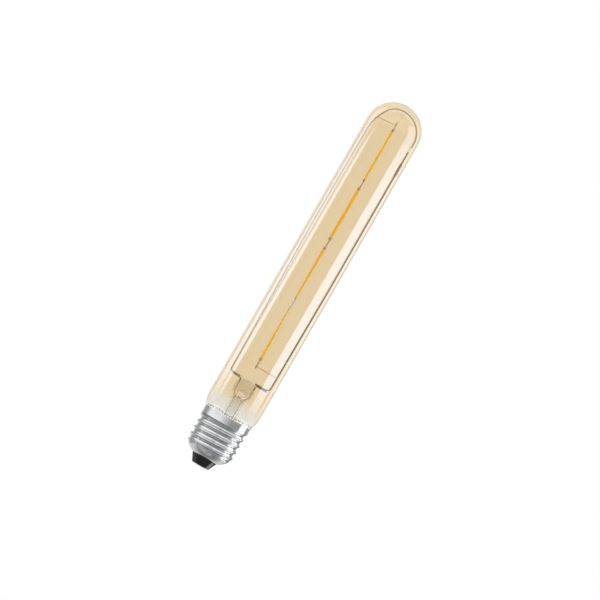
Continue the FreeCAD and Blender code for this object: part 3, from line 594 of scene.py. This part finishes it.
tip_path = in_plane(on_rod(184.5), on_rod(190), on_rod(195.2))
sleeve_path = in_plane(on_rod(181.0), on_rod(184.5), on_rod(188.0))
wires = [
    ("left_lead_wire", left_lead, lead_width, "left_inner_lead"),
    ("right_lead_wire", right_lead, lead_width, "right_inner_lead"),
    ("loop_wire", loop_path, loop_width, "loop_support_wire"),
    ("support_rod", rod_path, rod_width, "right_support_rod"),
    ("rod_end", tip_path, tip_width, "right_rod_tip"),
    ("rod_joint_sleeve", sleeve_path, sleeve_width, "rod_sleeve"),
]
for name, path, width, node in wires:
    wire = skin(name, tube_rings(path, width / 2), crease=50)
    settle(wire, "nickel_wire", rod_metal if "rod" in name else wire_metal, node)

# %% [markdown]
# ## Filament strips
# Each filament is a thin strip with chips, dipped in orange phosphor silicone. The coat's
# section is a flattened super-ellipse that is turned by hand when the strip is welded, so
# every filament has its own twist. The ends of the coat are rounded where the silicone ran. A
# phosphor takes in blue daylight and gives it back as orange, and a weak emission stands in for
# that. The bulb itself is unlit.

# %% Filament chain
coat_width, coat_depth, coat_length = 1.6, 0.65, 28.4
coat_rows, coat_power, end_round, end_share = 90, 2.9, 0.4, 0.55
coat_tops = np.array([200.2, 165.1, 129.6, 92.8])
coat_x = np.array([(-0.1, -0.2), (-0.25, -0.3), (-0.35, -0.42), (-0.62, -0.3)])
coat_turns = np.array([(57.0, 57.0), (22.0, 22.0), (30.0, 78.0), (85.0, 47.0)])


def phosphor_silicone():
    """Orange-yellow phosphor in silicone, slightly grainy, with a weak emission."""
    material, tree, place = start_material("phosphor_filled_silicone_coat")
    grain = speckle(tree, place, 0.5)
    cloud = speckle(tree, place, 6.0, detail=1.0)
    base = ramp(tree, cloud, colour("FFC800"), colour("FFD008"))
    finish_material(tree, Base_Color=base, Roughness=spread(tree, grain, 0.5, 0.65), IOR=1.41,
                    Specular_IOR_Level=0.1, Emission_Color=colour("FFC600"), Emission_Strength=0.42,
                    Normal=bump(tree, grain, 0.02))
    return material


phosphor = phosphor_silicone()


def coat_rings(index, around=40):
    """Twisted super-ellipse along the filament: in the last 0.4 mm it shrinks as a quarter round."""
    share = (1 - np.cos(np.linspace(0, math.pi, coat_rows))) / 2
    from_end = np.minimum(share, 1 - share) * coat_length
    quarter = np.sqrt(np.clip(1 - (1 - np.clip(from_end / end_round, 0, 1)) ** 2, 0, 1))
    swell = quarter * 0.45 + end_share
    runs = 1 + 0.02 * np.sin(share * 41 + index) * np.sin(share * 17)
    half_width, half_depth = coat_width / 2 * swell * runs, coat_depth / 2 * swell * runs
    x, y = power_ring(half_width, half_depth, np.full(coat_rows, coat_power), around)
    twist = np.radians(coat_turns[index, 0] + share * (coat_turns[index, 1] - coat_turns[index, 0]))[:, None]
    across = coat_x[index, 0] + share * (coat_x[index, 1] - coat_x[index, 0])
    height = coat_tops[index] - share * coat_length
    return np.stack([
        across[:, None] + x * np.cos(twist) - y * np.sin(twist),
        x * np.sin(twist) + y * np.cos(twist),
        np.repeat(height[:, None], around, axis=1),
    ], axis=-1)


for index in range(4):
    coat = skin("phosphor_coat_%d" % (index + 1), coat_rings(index), crease=60)
    settle(coat, "phosphor_coat", phosphor, "filament_%d_coat" % (index + 1))

# %% [markdown]
# ## Screw cap
# The cap is thin nickel-plated sheet, drawn to a cup and rolled between two thread rollers.
# The thread is one groove of a round section. At any point the distance to the nearest turn of
# the groove gives the radius, and the smaller of cup and groove is the surface. At its upper
# end the groove climbs out of the sheet within half a turn, and at its lower end it runs out
# where the bowl gets narrower than the groove.

# %% Rolled thread
pitch, crest_radius, groove_depth, crest_round, sheet = 3.629, 13.2, 1.07, 0.55, 0.3
last_groove = 23.93
root_radius = crest_radius - groove_depth
flank_sum = ((pitch / 2) ** 2 + groove_depth ** 2) / (2 * groove_depth)
root_round = flank_sum - crest_round
knee_arc, knee_height, knee_angle, bowl_arc = 4.0, 11.74, 28.9, 10.9
collar_radius, collar_top = 13.35, 29.55
flare_start, flare_rise = 24.3, 1.0
cap_base, lip_hole = 4.95, 5.6
outer_spacing, inner_spacing = 0.07, 0.25
knee_centre = np.array([crest_radius - knee_arc, knee_height])
bowl_centre = arc(knee_centre, bowl_arc - knee_arc, 180 - knee_angle, 180 - knee_angle, 1)[0]


def groove_radius(turn, height, inset):
    """Radius of the groove's own surface at an angle and a height, large where there is none."""
    count = np.round((height - last_groove) / pitch - turn / math.tau)
    unwound = turn + math.tau * count
    distance = np.abs(height - last_groove - pitch * unwound / math.tau)
    root_rise = np.sqrt(np.clip((root_round + inset) ** 2 - distance ** 2, 0, None))
    root = root_radius + root_round - root_rise
    from_crest = pitch / 2 - distance
    crest_rise = np.sqrt(np.clip((crest_round - inset) ** 2 - from_crest ** 2, 0, None))
    crest = crest_radius - crest_round + crest_rise
    swap = pitch / 2 * (root_round + inset) / flank_sum
    radius = np.where(distance < swap, root, crest)
    climb = np.clip(unwound / math.pi, 0, None) * (groove_depth + 0.5)
    return radius + climb


def cup_profile(inset, spacing):
    """Radius and height of the cup before rolling, from the collar's rim down to the base."""
    base = cap_base + inset
    bowl_start = math.degrees(math.asin((base - bowl_centre[1]) / (bowl_arc - inset)))
    heights = np.arange(collar_top, knee_height, -spacing)
    share = np.clip((heights - flare_start) / flare_rise, 0, 1)
    wall = crest_radius - inset + share * (collar_radius - crest_radius)
    return np.concatenate([
        np.stack([wall, heights], axis=-1),
        arc(knee_centre, knee_arc - inset, 0, -knee_angle, 16),
        arc(bowl_centre, bowl_arc - inset, -knee_angle, bowl_start, 26)[1:],
        [(lip_hole, base)],
    ])


def cap_rings(around=200):
    """Rings down the outside of the sheet and up its inside."""
    outside, inside = cup_profile(0, outer_spacing), cup_profile(sheet, inner_spacing)[::-1]
    turn = np.linspace(0, math.tau, around, endpoint=False)[None, :]
    rings = []
    for profile, inset in ((outside, 0), (inside, sheet)):
        radius, height = profile[:, :1], profile[:, 1:]
        rolled = np.minimum(radius, groove_radius(turn, height, inset))
        rings.append(np.stack([rolled * np.cos(turn), rolled * np.sin(turn), height + 0 * turn], axis=-1))
    return np.concatenate(rings)


def plated_sheet():
    """Bright nickel plating on rolled sheet, with fine rolling marks and soft handling smears."""
    material, tree, place = start_material("bright_nickel_plated_rolled_sheet")
    smear = speckle(tree, place, 5.0, detail=2.0)
    stretched = add(tree, "ShaderNodeMapping", Vector=place, Scale=(1.0, 1.0, 14.0)).outputs["Vector"]
    marks = speckle(tree, stretched, 3.0, detail=4.0)
    finish_material(tree, Base_Color=ramp(tree, smear, colour("C9CACC"), colour("D4D5D6")), Metallic=1.0,
                    Roughness=spread(tree, smear, 0.03, 0.07), Normal=bump(tree, marks, 0.002))
    return material


cap_metal = plated_sheet()
cap = skin("rolled_screw_cap", cap_rings(), loop=True, crease=75)
settle(cap, "cap_metal", cap_metal, "cap_shell")

# %% [markdown]
# The glass at the seal bends the view down into the cap, and in the photograph it is pale there.
# In the CAD the cement is only a ring. So the inside of the sheet is painted pale with the cement's
# finish too, and that finish has a painted glow, on the ring as well, for light that doesn't get in.

# %% Pale inside of the cap
painted_pale_bottom = 9.0
# The cement's finish carries a painted glow, on the cement ring and on the painted pale inside.
cement = plain_finish("baked_capping_cement_with_painted_glow", "E6E1D4", "F0EDE4", 0.6, (0.8, 0.95), 0.05,
                      Emission_Color=colour("F0EDE4"), Emission_Strength=1.1)
cap.data.materials.append(cement)
cap_normals = np.empty((len(cap.data.polygons), 3))
cap_middles = np.empty_like(cap_normals)
cap.data.polygons.foreach_get("normal", cap_normals.ravel())
cap.data.polygons.foreach_get("center", cap_middles.ravel())
# Inside faces above 9 mm that face the axis are painted pale with the glowing finish.
towards_axis = (cap_normals[:, :2] * cap_middles[:, :2]).sum(axis=1) < 0
painted_pale_inside = towards_axis & (cap_middles[:, 2] > painted_pale_bottom * MM)
cap.data.polygons.foreach_set("material_index", painted_pale_inside.astype(np.int32))
print("faces under cement:", int(painted_pale_inside.sum()))

# %% [markdown]
# The cap's tip is black glass that was pressed while hot, with a tinned brass disc in its middle.
# Pressed glass is glossy but not flat, so a shallow, wide relief moves its reflections.

# %% Tip of the cap
black_glass = plain_finish("pressed_black_glass", "09090B", "101012", 3.0, (0.08, 0.14),
                           relief_mm=0.05, IOR=1.52)
insulator = lathe("cap_tip_insulator", np.concatenate([
    [(1.6, 0.55)], [(4.7, 0.55)], [(4.7, 0.36)],
    arc((4.85, 0.45), 0.15, 270, 345, 6),
    [(7.08, 4.72)],
    arc((6.95, 4.8), 0.15, 0, 90, 6),
    [(5.6, 4.95)], [(5.6, 5.25)], [(6.9, 5.25)], [(6.5, 7.0)], [(1.6, 7.0)],
]), loop=True)
settle(insulator, "black_glass", black_glass, "cap_insulator")

contact_metal = plain_finish("tinned_brass_disc", "C9C5BA", "DAD7CE", 2.0, (0.2, 0.35),
                             relief_mm=0.01, Metallic=1.0)
contact = lathe("contact_disc", np.concatenate([
    arc((4.5, 0.2), 0.2, -90, 0, 8),
    [(4.7, 0.55)], [(1.6, 0.55)], [(1.6, 7.0)], [(2.5, 7.0)], [(2.5, 7.3)], [(0.9, 7.3)], [(0.9, 0.1)],
    arc((1.0, 0.1), 0.1, 180, 270, 5),
]), loop=True)
settle(contact, "contact_brass", contact_metal, "centre_contact")

# %% [markdown]
# ## Finishes of the pieces that stay as CAD
# The small stamped parts of the filament chain and everything inside the cap have the right
# shape already, so they only take a finish. Each is named for the stuff it is made of.

# %% Finishes for CAD nodes
finishes = {
    "strip_metal": plain_finish("stamped_plated_strip", "BDB6A9", "D2CBBD", 1.0, (0.3, 0.45), 0.005,
                                Metallic=1.0),
    # The fine nickel wire has a weak painted glow, like the drawn wires.
    "nickel_wire": plain_finish("fine_nickel_wire", "9A8F7C", "AFA48E", 1.2, (0.28, 0.42), relief_mm=0.01,
                                Metallic=1.0, Emission_Color=colour("C0A878"), Emission_Strength=0.4),
    "copper_wire": copper_metal,
    "led_chip": plain_finish("diced_semiconductor_chips", "8E9AB0", "A4B0C4", 0.3, (0.15, 0.3)),
    "solder": plain_finish("cast_tin_solder", "A9AAA9", "C0C1C0", 0.7, (0.25, 0.45), 0.02, Metallic=1.0),
    # The cement ring glows with the same painted glow.
    "cement": cement,
    "circuit_board": plain_finish("green_lacquered_glass_fibre_board", "1D5C34", "24693D", 0.8,
                                  (0.3, 0.45), 0.01),
    "component_black": plain_finish("moulded_black_resin", "1B1B1D", "252527", 0.4, (0.5, 0.7), 0.01),
    "capacitor_sleeve": plain_finish("shrunk_dark_vinyl_sleeve", "241F3A", "2E2846", 2.0, (0.25, 0.4), 0.01),
    "resistor_body": plain_finish("lacquered_resistor_body", "6E8794", "7C96A3", 0.8, (0.35, 0.5), 0.02),
    "clear_glass": stem_glass,
    "amber_glass": amber_glass,
    "cap_metal": cap_metal,
    "black_glass": black_glass,
    "contact_brass": contact_metal,
    "phosphor_coat": phosphor,
}
for part in frame["record"]["subparts"]:
    node = frame["nodes"][part["node"]]
    node.data.materials.clear()
    node.data.materials.append(finishes[part["material_slot"]])
print("finishes:", len(finishes))

# %% [markdown]
# ## Studio
# The picture is a cut-out on pure white, so the world is white. The glass and the metal mirror a
# light tent, a round wall with a roof, which the lens doesn't see. For the glass, the tent's
# light is a sum of panels that depend on the angle round the bulb: a bright one on the right and
# a narrow one behind it, two on the left and a faint one at the back left, with darker cloth
# between them. An angle is 0 in front of the bulb, 90 on its right and 180 behind it. The panels'
# places and strengths were fitted to the reflections in the photograph.

# %% Light of the tent
pale_cloth = (0.76, 0.71, 0.60)
warm_cloth, cool_panel = (0.767, 0.610, 0.381), (0.195, 0.268, 0.400)
grey_cloth, white_panel = (1.0, 0.96, 0.90), (0.19, 0.21, 0.23)

# First and last angle of each panel, then the width of its soft edges, all in degrees.
right_panel, right_back_panel = (62.5, 100.5, 3), (124, 134, 9)
left_back_panel, faint_panel = (-124.5, -100, 6), (-166, -149, 4)
left_panel_end, left_panel_soft = -74, 4
front_cloth = (-100, -20, 20, 30)
metal_screen, metal_strip, metal_back = (-86, -28, 24, 55), (79, 114, 7), (-180, -152, 20)


def between(value, start, end, soft, soft_end=None):
    """1 from start to end, fading to 0 over the soft widths outside them."""
    return np.clip(np.minimum((value - start) / soft, (end - value) / (soft_end or soft)) + 1, 0, 1)


def fresnel(angle, index):
    """Share of light that a smooth surface mirrors to the front from an angle, met at half of it."""
    straight = np.cos(np.radians(angle) / 2)
    bent = np.sqrt(1 - (1 - straight ** 2) / index ** 2)
    across = ((straight - index * bent) / (straight + index * bent)) ** 2
    along = ((bent - index * straight) / (bent + index * straight)) ** 2
    return (across + along) / 2


def mirror_share(angle):
    """Mirrored share of lacquer with glass under it."""
    lacquer = fresnel(angle, lacquer_index)
    return lacquer + (1 - lacquer) * fresnel(angle, glass_index)


def glass_light(angle, height):
    """Colour of the tent above the cap: cloth that is darkest in front, plus five cool panels.

    A panel's light is divided by the share of it that the glass mirrors, so that panels at all
    angles look alike on the glass. Above the tube's top the colours turn plainer.
    """
    cloth = np.interp(np.abs(angle), [0, 60, 130, 165], [0.12, 0.3, 0.8, 1.0])
    front = 0.40 + 0.1 * between(angle, *front_cloth)
    behind = np.clip((np.abs(angle) - 95) / 35, 0, 1)[..., None]
    inner_edge = np.interp(height, [0.10, 0.199, 0.216, 0.230], [-86.5, -82.0, -78.5, -66.0])
    panels = between(angle, *right_panel) + between(angle, *right_back_panel)
    panels = panels + between(angle, *left_back_panel)
    panels = panels + between(angle, inner_edge, left_panel_end, left_panel_soft)
    panels = panels + 0.5 * between(angle, *faint_panel)
    rise = np.interp(height, [0.010, 0.022, 0.035, 0.074, 0.195, 0.232, 1.02, 1.07],
                     [0.0, 0.5, 0.85, 1.0, 1.0, 0.66, 0.66, 0.0])
    lit = panels * rise / mirror_share(angle)
    plain = np.clip((height - 0.24) / 0.35, 0, 1)[..., None]
    lower = cloth[..., None] * np.array(warm_cloth) + lit[..., None] * np.array(cool_panel)
    higher = (1 - behind) * front[..., None] * np.array(grey_cloth) + behind * np.array(warm_cloth)
    higher = higher + lit[..., None] * np.array(white_panel)
    return lower + plain * (higher - lower)


def metal_light(angle, height):
    """Grey round the cap, a broad pale screen at the front left and a bright strip on the right."""
    grey = 0.30 + 0.18 * np.clip((height + 0.08) / 0.05, 0, 1) + 0.45 * between(angle, *metal_back)
    screen = 0.82 * between(angle, *metal_screen)
    strip = 1.22 * between(angle, *metal_strip)
    return grey + (screen + strip) * np.clip((height + 0.045) / 0.02, 0, 1)


def roof_light(depth):
    """Grey cloth in front, brighter above the bulb and just behind it, and pale cloth at the back."""
    level = 0.45 + 0.4 * between(depth, -0.1, 0.3, 0.15, 0.2)
    back = np.clip((depth - 0.3) / 0.2, 0, 1)[..., None]
    return (1 - back) * level[..., None] * np.array(grey_cloth) + back * np.array(pale_cloth)


print("mirrored share in front and at a right angle:", mirror_share(0).round(3), mirror_share(90).round(3))

# %% [markdown]
# The wall's points carry the colour of their light, and the material only reads it. The wall
# stands 0.9 m from the axis, and its rows are closer together where the light changes quickly.
# Below a narrow band it has the light that the metal mirrors, and above it the glass's light.

# %% Light tent
tent_material, tree, _ = start_material("lit_tent_cloth")
cloth_light = add(tree, "ShaderNodeAttribute", attribute_name="light").outputs["Color"]
glow = add(tree, "ShaderNodeEmission", Color=cloth_light, Strength=1.0)
add(tree, "ShaderNodeOutputMaterial", Surface=glow.outputs["Emission"])
tent_turn = np.arange(-180, 180, 1.25)


def rows_round_bulb(reach, row_height):
    """Angles, heights and points of rows round the axis: x = r sin a, y = -r cos a."""
    angle, height = np.meshgrid(tent_turn, row_height)
    across = reach[:, None] * np.sin(np.radians(angle))
    depth = -reach[:, None] * np.cos(np.radians(angle))
    return angle, height, np.stack([across, depth, height], axis=-1)


def glowing_cloth(name, points, loop, light):
    """Stage object whose points carry their own light; only mirrors and glass gloss see it."""
    mesh = bpy.data.meshes.new(name)
    faces = ring_faces(points.shape[0], points.shape[1], loop)
    mesh.from_pydata(points.reshape(-1, 3).tolist(), [], faces.tolist())
    light = np.concatenate([light, np.ones_like(light[..., :1])], axis=-1)
    attribute = mesh.attributes.new("light", "FLOAT_COLOR", "POINT")
    attribute.data.foreach_set("color", light.ravel().astype(np.float32))
    mesh.materials.append(tent_material)
    obj = bpy.data.objects.new(name, mesh)
    bpy.context.scene.collection.objects.link(obj)
    obj.visible_camera = False
    obj.visible_transmission = False
    obj.visible_diffuse = False
    obj.visible_shadow = False


wall_radius, wall_top, roof_rise = 0.9, 1.1, 0.15
band_low, band_high = 0.0065, 0.0085
wall = np.concatenate([np.linspace(-0.5, -0.1, 9), np.linspace(-0.09, 0.0, 19),
                       np.linspace(0.003, 0.25, 80), np.linspace(0.27, wall_top, 30)])
roof = np.linspace(0.88, 0.02, 30)
tent_reach = np.concatenate([np.full(len(wall), wall_radius), roof])
tent_rows = np.concatenate([wall, wall_top + roof_rise * (1 - roof / wall_radius)])
tent_angle, tent_height, tent_points = rows_round_bulb(tent_reach, tent_rows)
upper = np.clip((tent_height - band_low) / (band_high - band_low), 0, 1)[..., None]
tent_light = (upper * glass_light(tent_angle, tent_height)
              + (1 - upper) * metal_light(tent_angle, tent_height)[..., None])
overhead = (tent_height > wall_top)[..., None]
tent_light = np.where(overhead, roof_light(tent_points[..., 1]), tent_light)
glowing_cloth("light_tent", tent_points, False, tent_light)
print("tent light from", tent_light.min().round(2), "to", tent_light.max().round(2))

# %% [markdown]
# The lowest glass and the collar stand close together, but in the photograph they mirror quite
# different things. A ring card parts their lights: a thin cone from just outside the tube to
# the wall, sloping down a little. The glass sees its top and the metal its underside.

# %% Ring card
card_top, card_slope, card_start, card_thickness = 0.0300, 0.0237, 0.013, 0.0003
card_look = 0.013
card_out = np.concatenate([np.linspace(0.018, 0.10, 16), np.linspace(0.12, 0.895, 20)])
card_fall = card_top - (card_out - card_start) * card_slope
card_reach = np.concatenate([card_out, card_out[::-1]])
card_rows = np.concatenate([card_fall, card_fall[::-1] - card_thickness])
card_angle, card_height, card_points = rows_round_bulb(card_reach, card_rows)
underside = np.repeat([False, True], len(card_out))[:, None, None]
close_in = np.clip((0.10 - card_reach) / 0.04, 0, 1)[:, None]
below = metal_light(card_angle, card_height) + 0.6 * close_in * between(card_angle, 15, 80, 15)
above = glass_light(card_angle, np.full_like(card_height, card_look))
glowing_cloth("ring_card", card_points, True, np.where(underside, below[..., None] * np.ones(3), above))
print("ring card from", card_out[0], "to", card_out[-1], "m")

# %% [markdown]
# The cap's bowl and the black glass look down, so they mirror what lies under the bulb: a pale
# floor with a grey mat and a few sheets of felt, whose greys and places were also fitted.
# Mirrors see them and the lens doesn't, so they don't darken a view from above or below.

# %% White world and pale floor
world = bpy.data.worlds.new("white_studio")
world.use_nodes = True
world.node_tree.nodes.clear()
sky = add(world.node_tree, "ShaderNodeBackground", Color=(1, 1, 1, 1), Strength=1.0)
add(world.node_tree, "ShaderNodeOutputWorld", Surface=sky.outputs["Background"])
bpy.context.scene.world = world


def keep_to_mirrors(obj):
    """Hide a studio piece from the lens and from rays through glass, so the picture stays white."""
    obj.visible_camera = False
    obj.visible_transmission = False


floor_height, floor_radius = -160.0, 450.0
floor_foot = floor_height - 4
floor_edge = [(0, floor_height), (floor_radius, floor_height), (floor_radius, floor_foot), (0, floor_foot)]
floor = lathe("pale_floor", floor_edge, around=96)
floor.data.materials.append(plain_finish("painted_pale_board", "ECECEA", "F0F0EE", 20.0, (0.6, 0.7)))
keep_to_mirrors(floor)
print("floor at", floor_height, "mm")


# %% Grey mat
pale_start, pale_end, pale_centre = 0.168, 0.238, 0.015


def grey_felt():
    """Grey felt that turns pale between two distances from a point a little right of the axis."""
    material, tree, place = start_material("airbrushed_grey_felt")
    centred = add(tree, "ShaderNodeMapping", Vector=place, Location=(-pale_centre, 0, 0)).outputs["Vector"]
    reach = add(tree, "ShaderNodeVectorMath", operation="LENGTH", Vector=centred).outputs["Value"]
    away = add(tree, "ShaderNodeMapRange", Value=reach, From_Min=pale_start,
               From_Max=pale_end).outputs["Result"]
    shade = ramp(tree, away, colour("909091"), colour("E6E6E4"), 0.0, 1.0)
    fibres = speckle(tree, place, 1.5)
    finish_material(tree, Base_Color=shade, Roughness=0.95, Normal=bump(tree, fibres, 0.2))
    return material


mat_radius, mat_top, mat_foot = 320.0, floor_height + 3, floor_height + 1
mat_edge = [(0, mat_top), (mat_radius, mat_top), (mat_radius, mat_foot), (0, mat_foot)]
mat = lathe("grey_mat", mat_edge, around=96)
mat.data.materials.append(grey_felt())
keep_to_mirrors(mat)
print("grey mat out to", mat_radius, "mm")


# %% Felt sheets
dark_felt = plain_finish("dark_grey_felt", "8C8C8D", "98989A", 1.5, (0.9, 0.95), 0.2)
mid_felt = plain_finish("mid_grey_felt", "A8A8A9", "B4B4B5", 1.5, (0.9, 0.95), 0.2)
pale_felt = plain_finish("pale_grey_felt", "BEBEBE", "C8C8C7", 1.5, (0.9, 0.95), 0.2)
box_faces = [(3, 2, 1, 0), (4, 5, 6, 7), (0, 1, 5, 4), (1, 2, 6, 5), (2, 3, 7, 6), (3, 0, 4, 7)]


def felt_sheet(name, felt, left, right, near, far, lift=4):
    """Thin closed box of felt, lift mm above the floor, between four edges in millimetres."""
    corners = [(x * MM, y * MM, (floor_height + level) * MM) for level in (lift, lift + 2)
               for x, y in ((left, near), (right, near), (right, far), (left, far))]
    mesh = bpy.data.meshes.new(name)
    mesh.from_pydata(corners, [], box_faces)
    mesh.materials.append(felt)
    sheet_object = bpy.data.objects.new(name, mesh)
    bpy.context.scene.collection.objects.link(sheet_object)
    keep_to_mirrors(sheet_object)


felt_sheet("front_mat", dark_felt, -260, 260, -430, -15)
felt_sheet("left_mat", mid_felt, -430, -175, 0, 300)
felt_sheet("middle_mat", mid_felt, -160, 45, -90, 12, lift=7)
felt_sheet("pale_mat", pale_felt, -135, -18, -72, -8, lift=10)
print("felts:", dark_felt.name, mid_felt.name, pale_felt.name)

# %% [markdown]
# Two light boxes on the floor give the bowl its bright edges. The lens does see them, as white on
# white. So in a view from far below and from the side, a box can stand in front of the bulb.

# %% Light boxes on the floor
box_height, box_strength = floor_height + 5, 2.8
box_outline = ((185, -10), (340, -10), (340, 220), (185, 220))
box_corners = [(side * reach * MM, depth * MM, box_height * MM)
               for side in (-1, 1) for reach, depth in box_outline]
box_mesh = bpy.data.meshes.new("floor_lights")
box_mesh.from_pydata(box_corners, [], box_faces[:2])
strips = bpy.data.objects.new("floor_lights", box_mesh)
bpy.context.scene.collection.objects.link(strips)
strips.visible_diffuse = False
strips.visible_transmission = False
strips.visible_shadow = False
strip_material, tree, _ = start_material("flat_light_box")
glow = add(tree, "ShaderNodeEmission", Color=(1, 1, 1, 1), Strength=box_strength)
add(tree, "ShaderNodeOutputMaterial", Surface=glow.outputs["Emission"])
box_mesh.materials.append(strip_material)
print("light boxes:", len(box_mesh.polygons))

# %% [markdown]
# ## Camera
# The photograph looks along +Y with the bulb leaning 30 degrees to the right, so the camera
# rolls instead of the bulb. One photograph pixel is 0.52 mm at the bulb's axis, and the middle
# of the picture lies 2.1 mm to the right of the axis at a height of 100.6 mm. A long lens
# three metres away keeps the tube's sides parallel, as they are there.

# %% Camera
lean = math.radians(29.975)
view_middle = np.array([2.09, 0.0, 100.64]) * MM
view_width = 311.94 * MM
distance = 3.0
right = np.array([math.cos(lean), 0, math.sin(lean)])
up = np.array([-math.sin(lean), 0, math.cos(lean)])
back = np.array([0.0, -1.0, 0.0])
camera_data = bpy.data.cameras.new("camera")
camera_data.sensor_width = 36.0
camera_data.lens = camera_data.sensor_width * distance / view_width
camera_data.clip_end = 50.0
camera = bpy.data.objects.new("camera", camera_data)
bpy.context.scene.collection.objects.link(camera)
pose = np.eye(4)
pose[:3, 0], pose[:3, 1], pose[:3, 2], pose[:3, 3] = right, up, back, view_middle + back * distance
camera.matrix_world = Matrix(pose.tolist())
bpy.context.scene.camera = camera
bpy.context.scene.view_settings.view_transform = "Standard"
print("lens in mm:", round(camera_data.lens, 1))
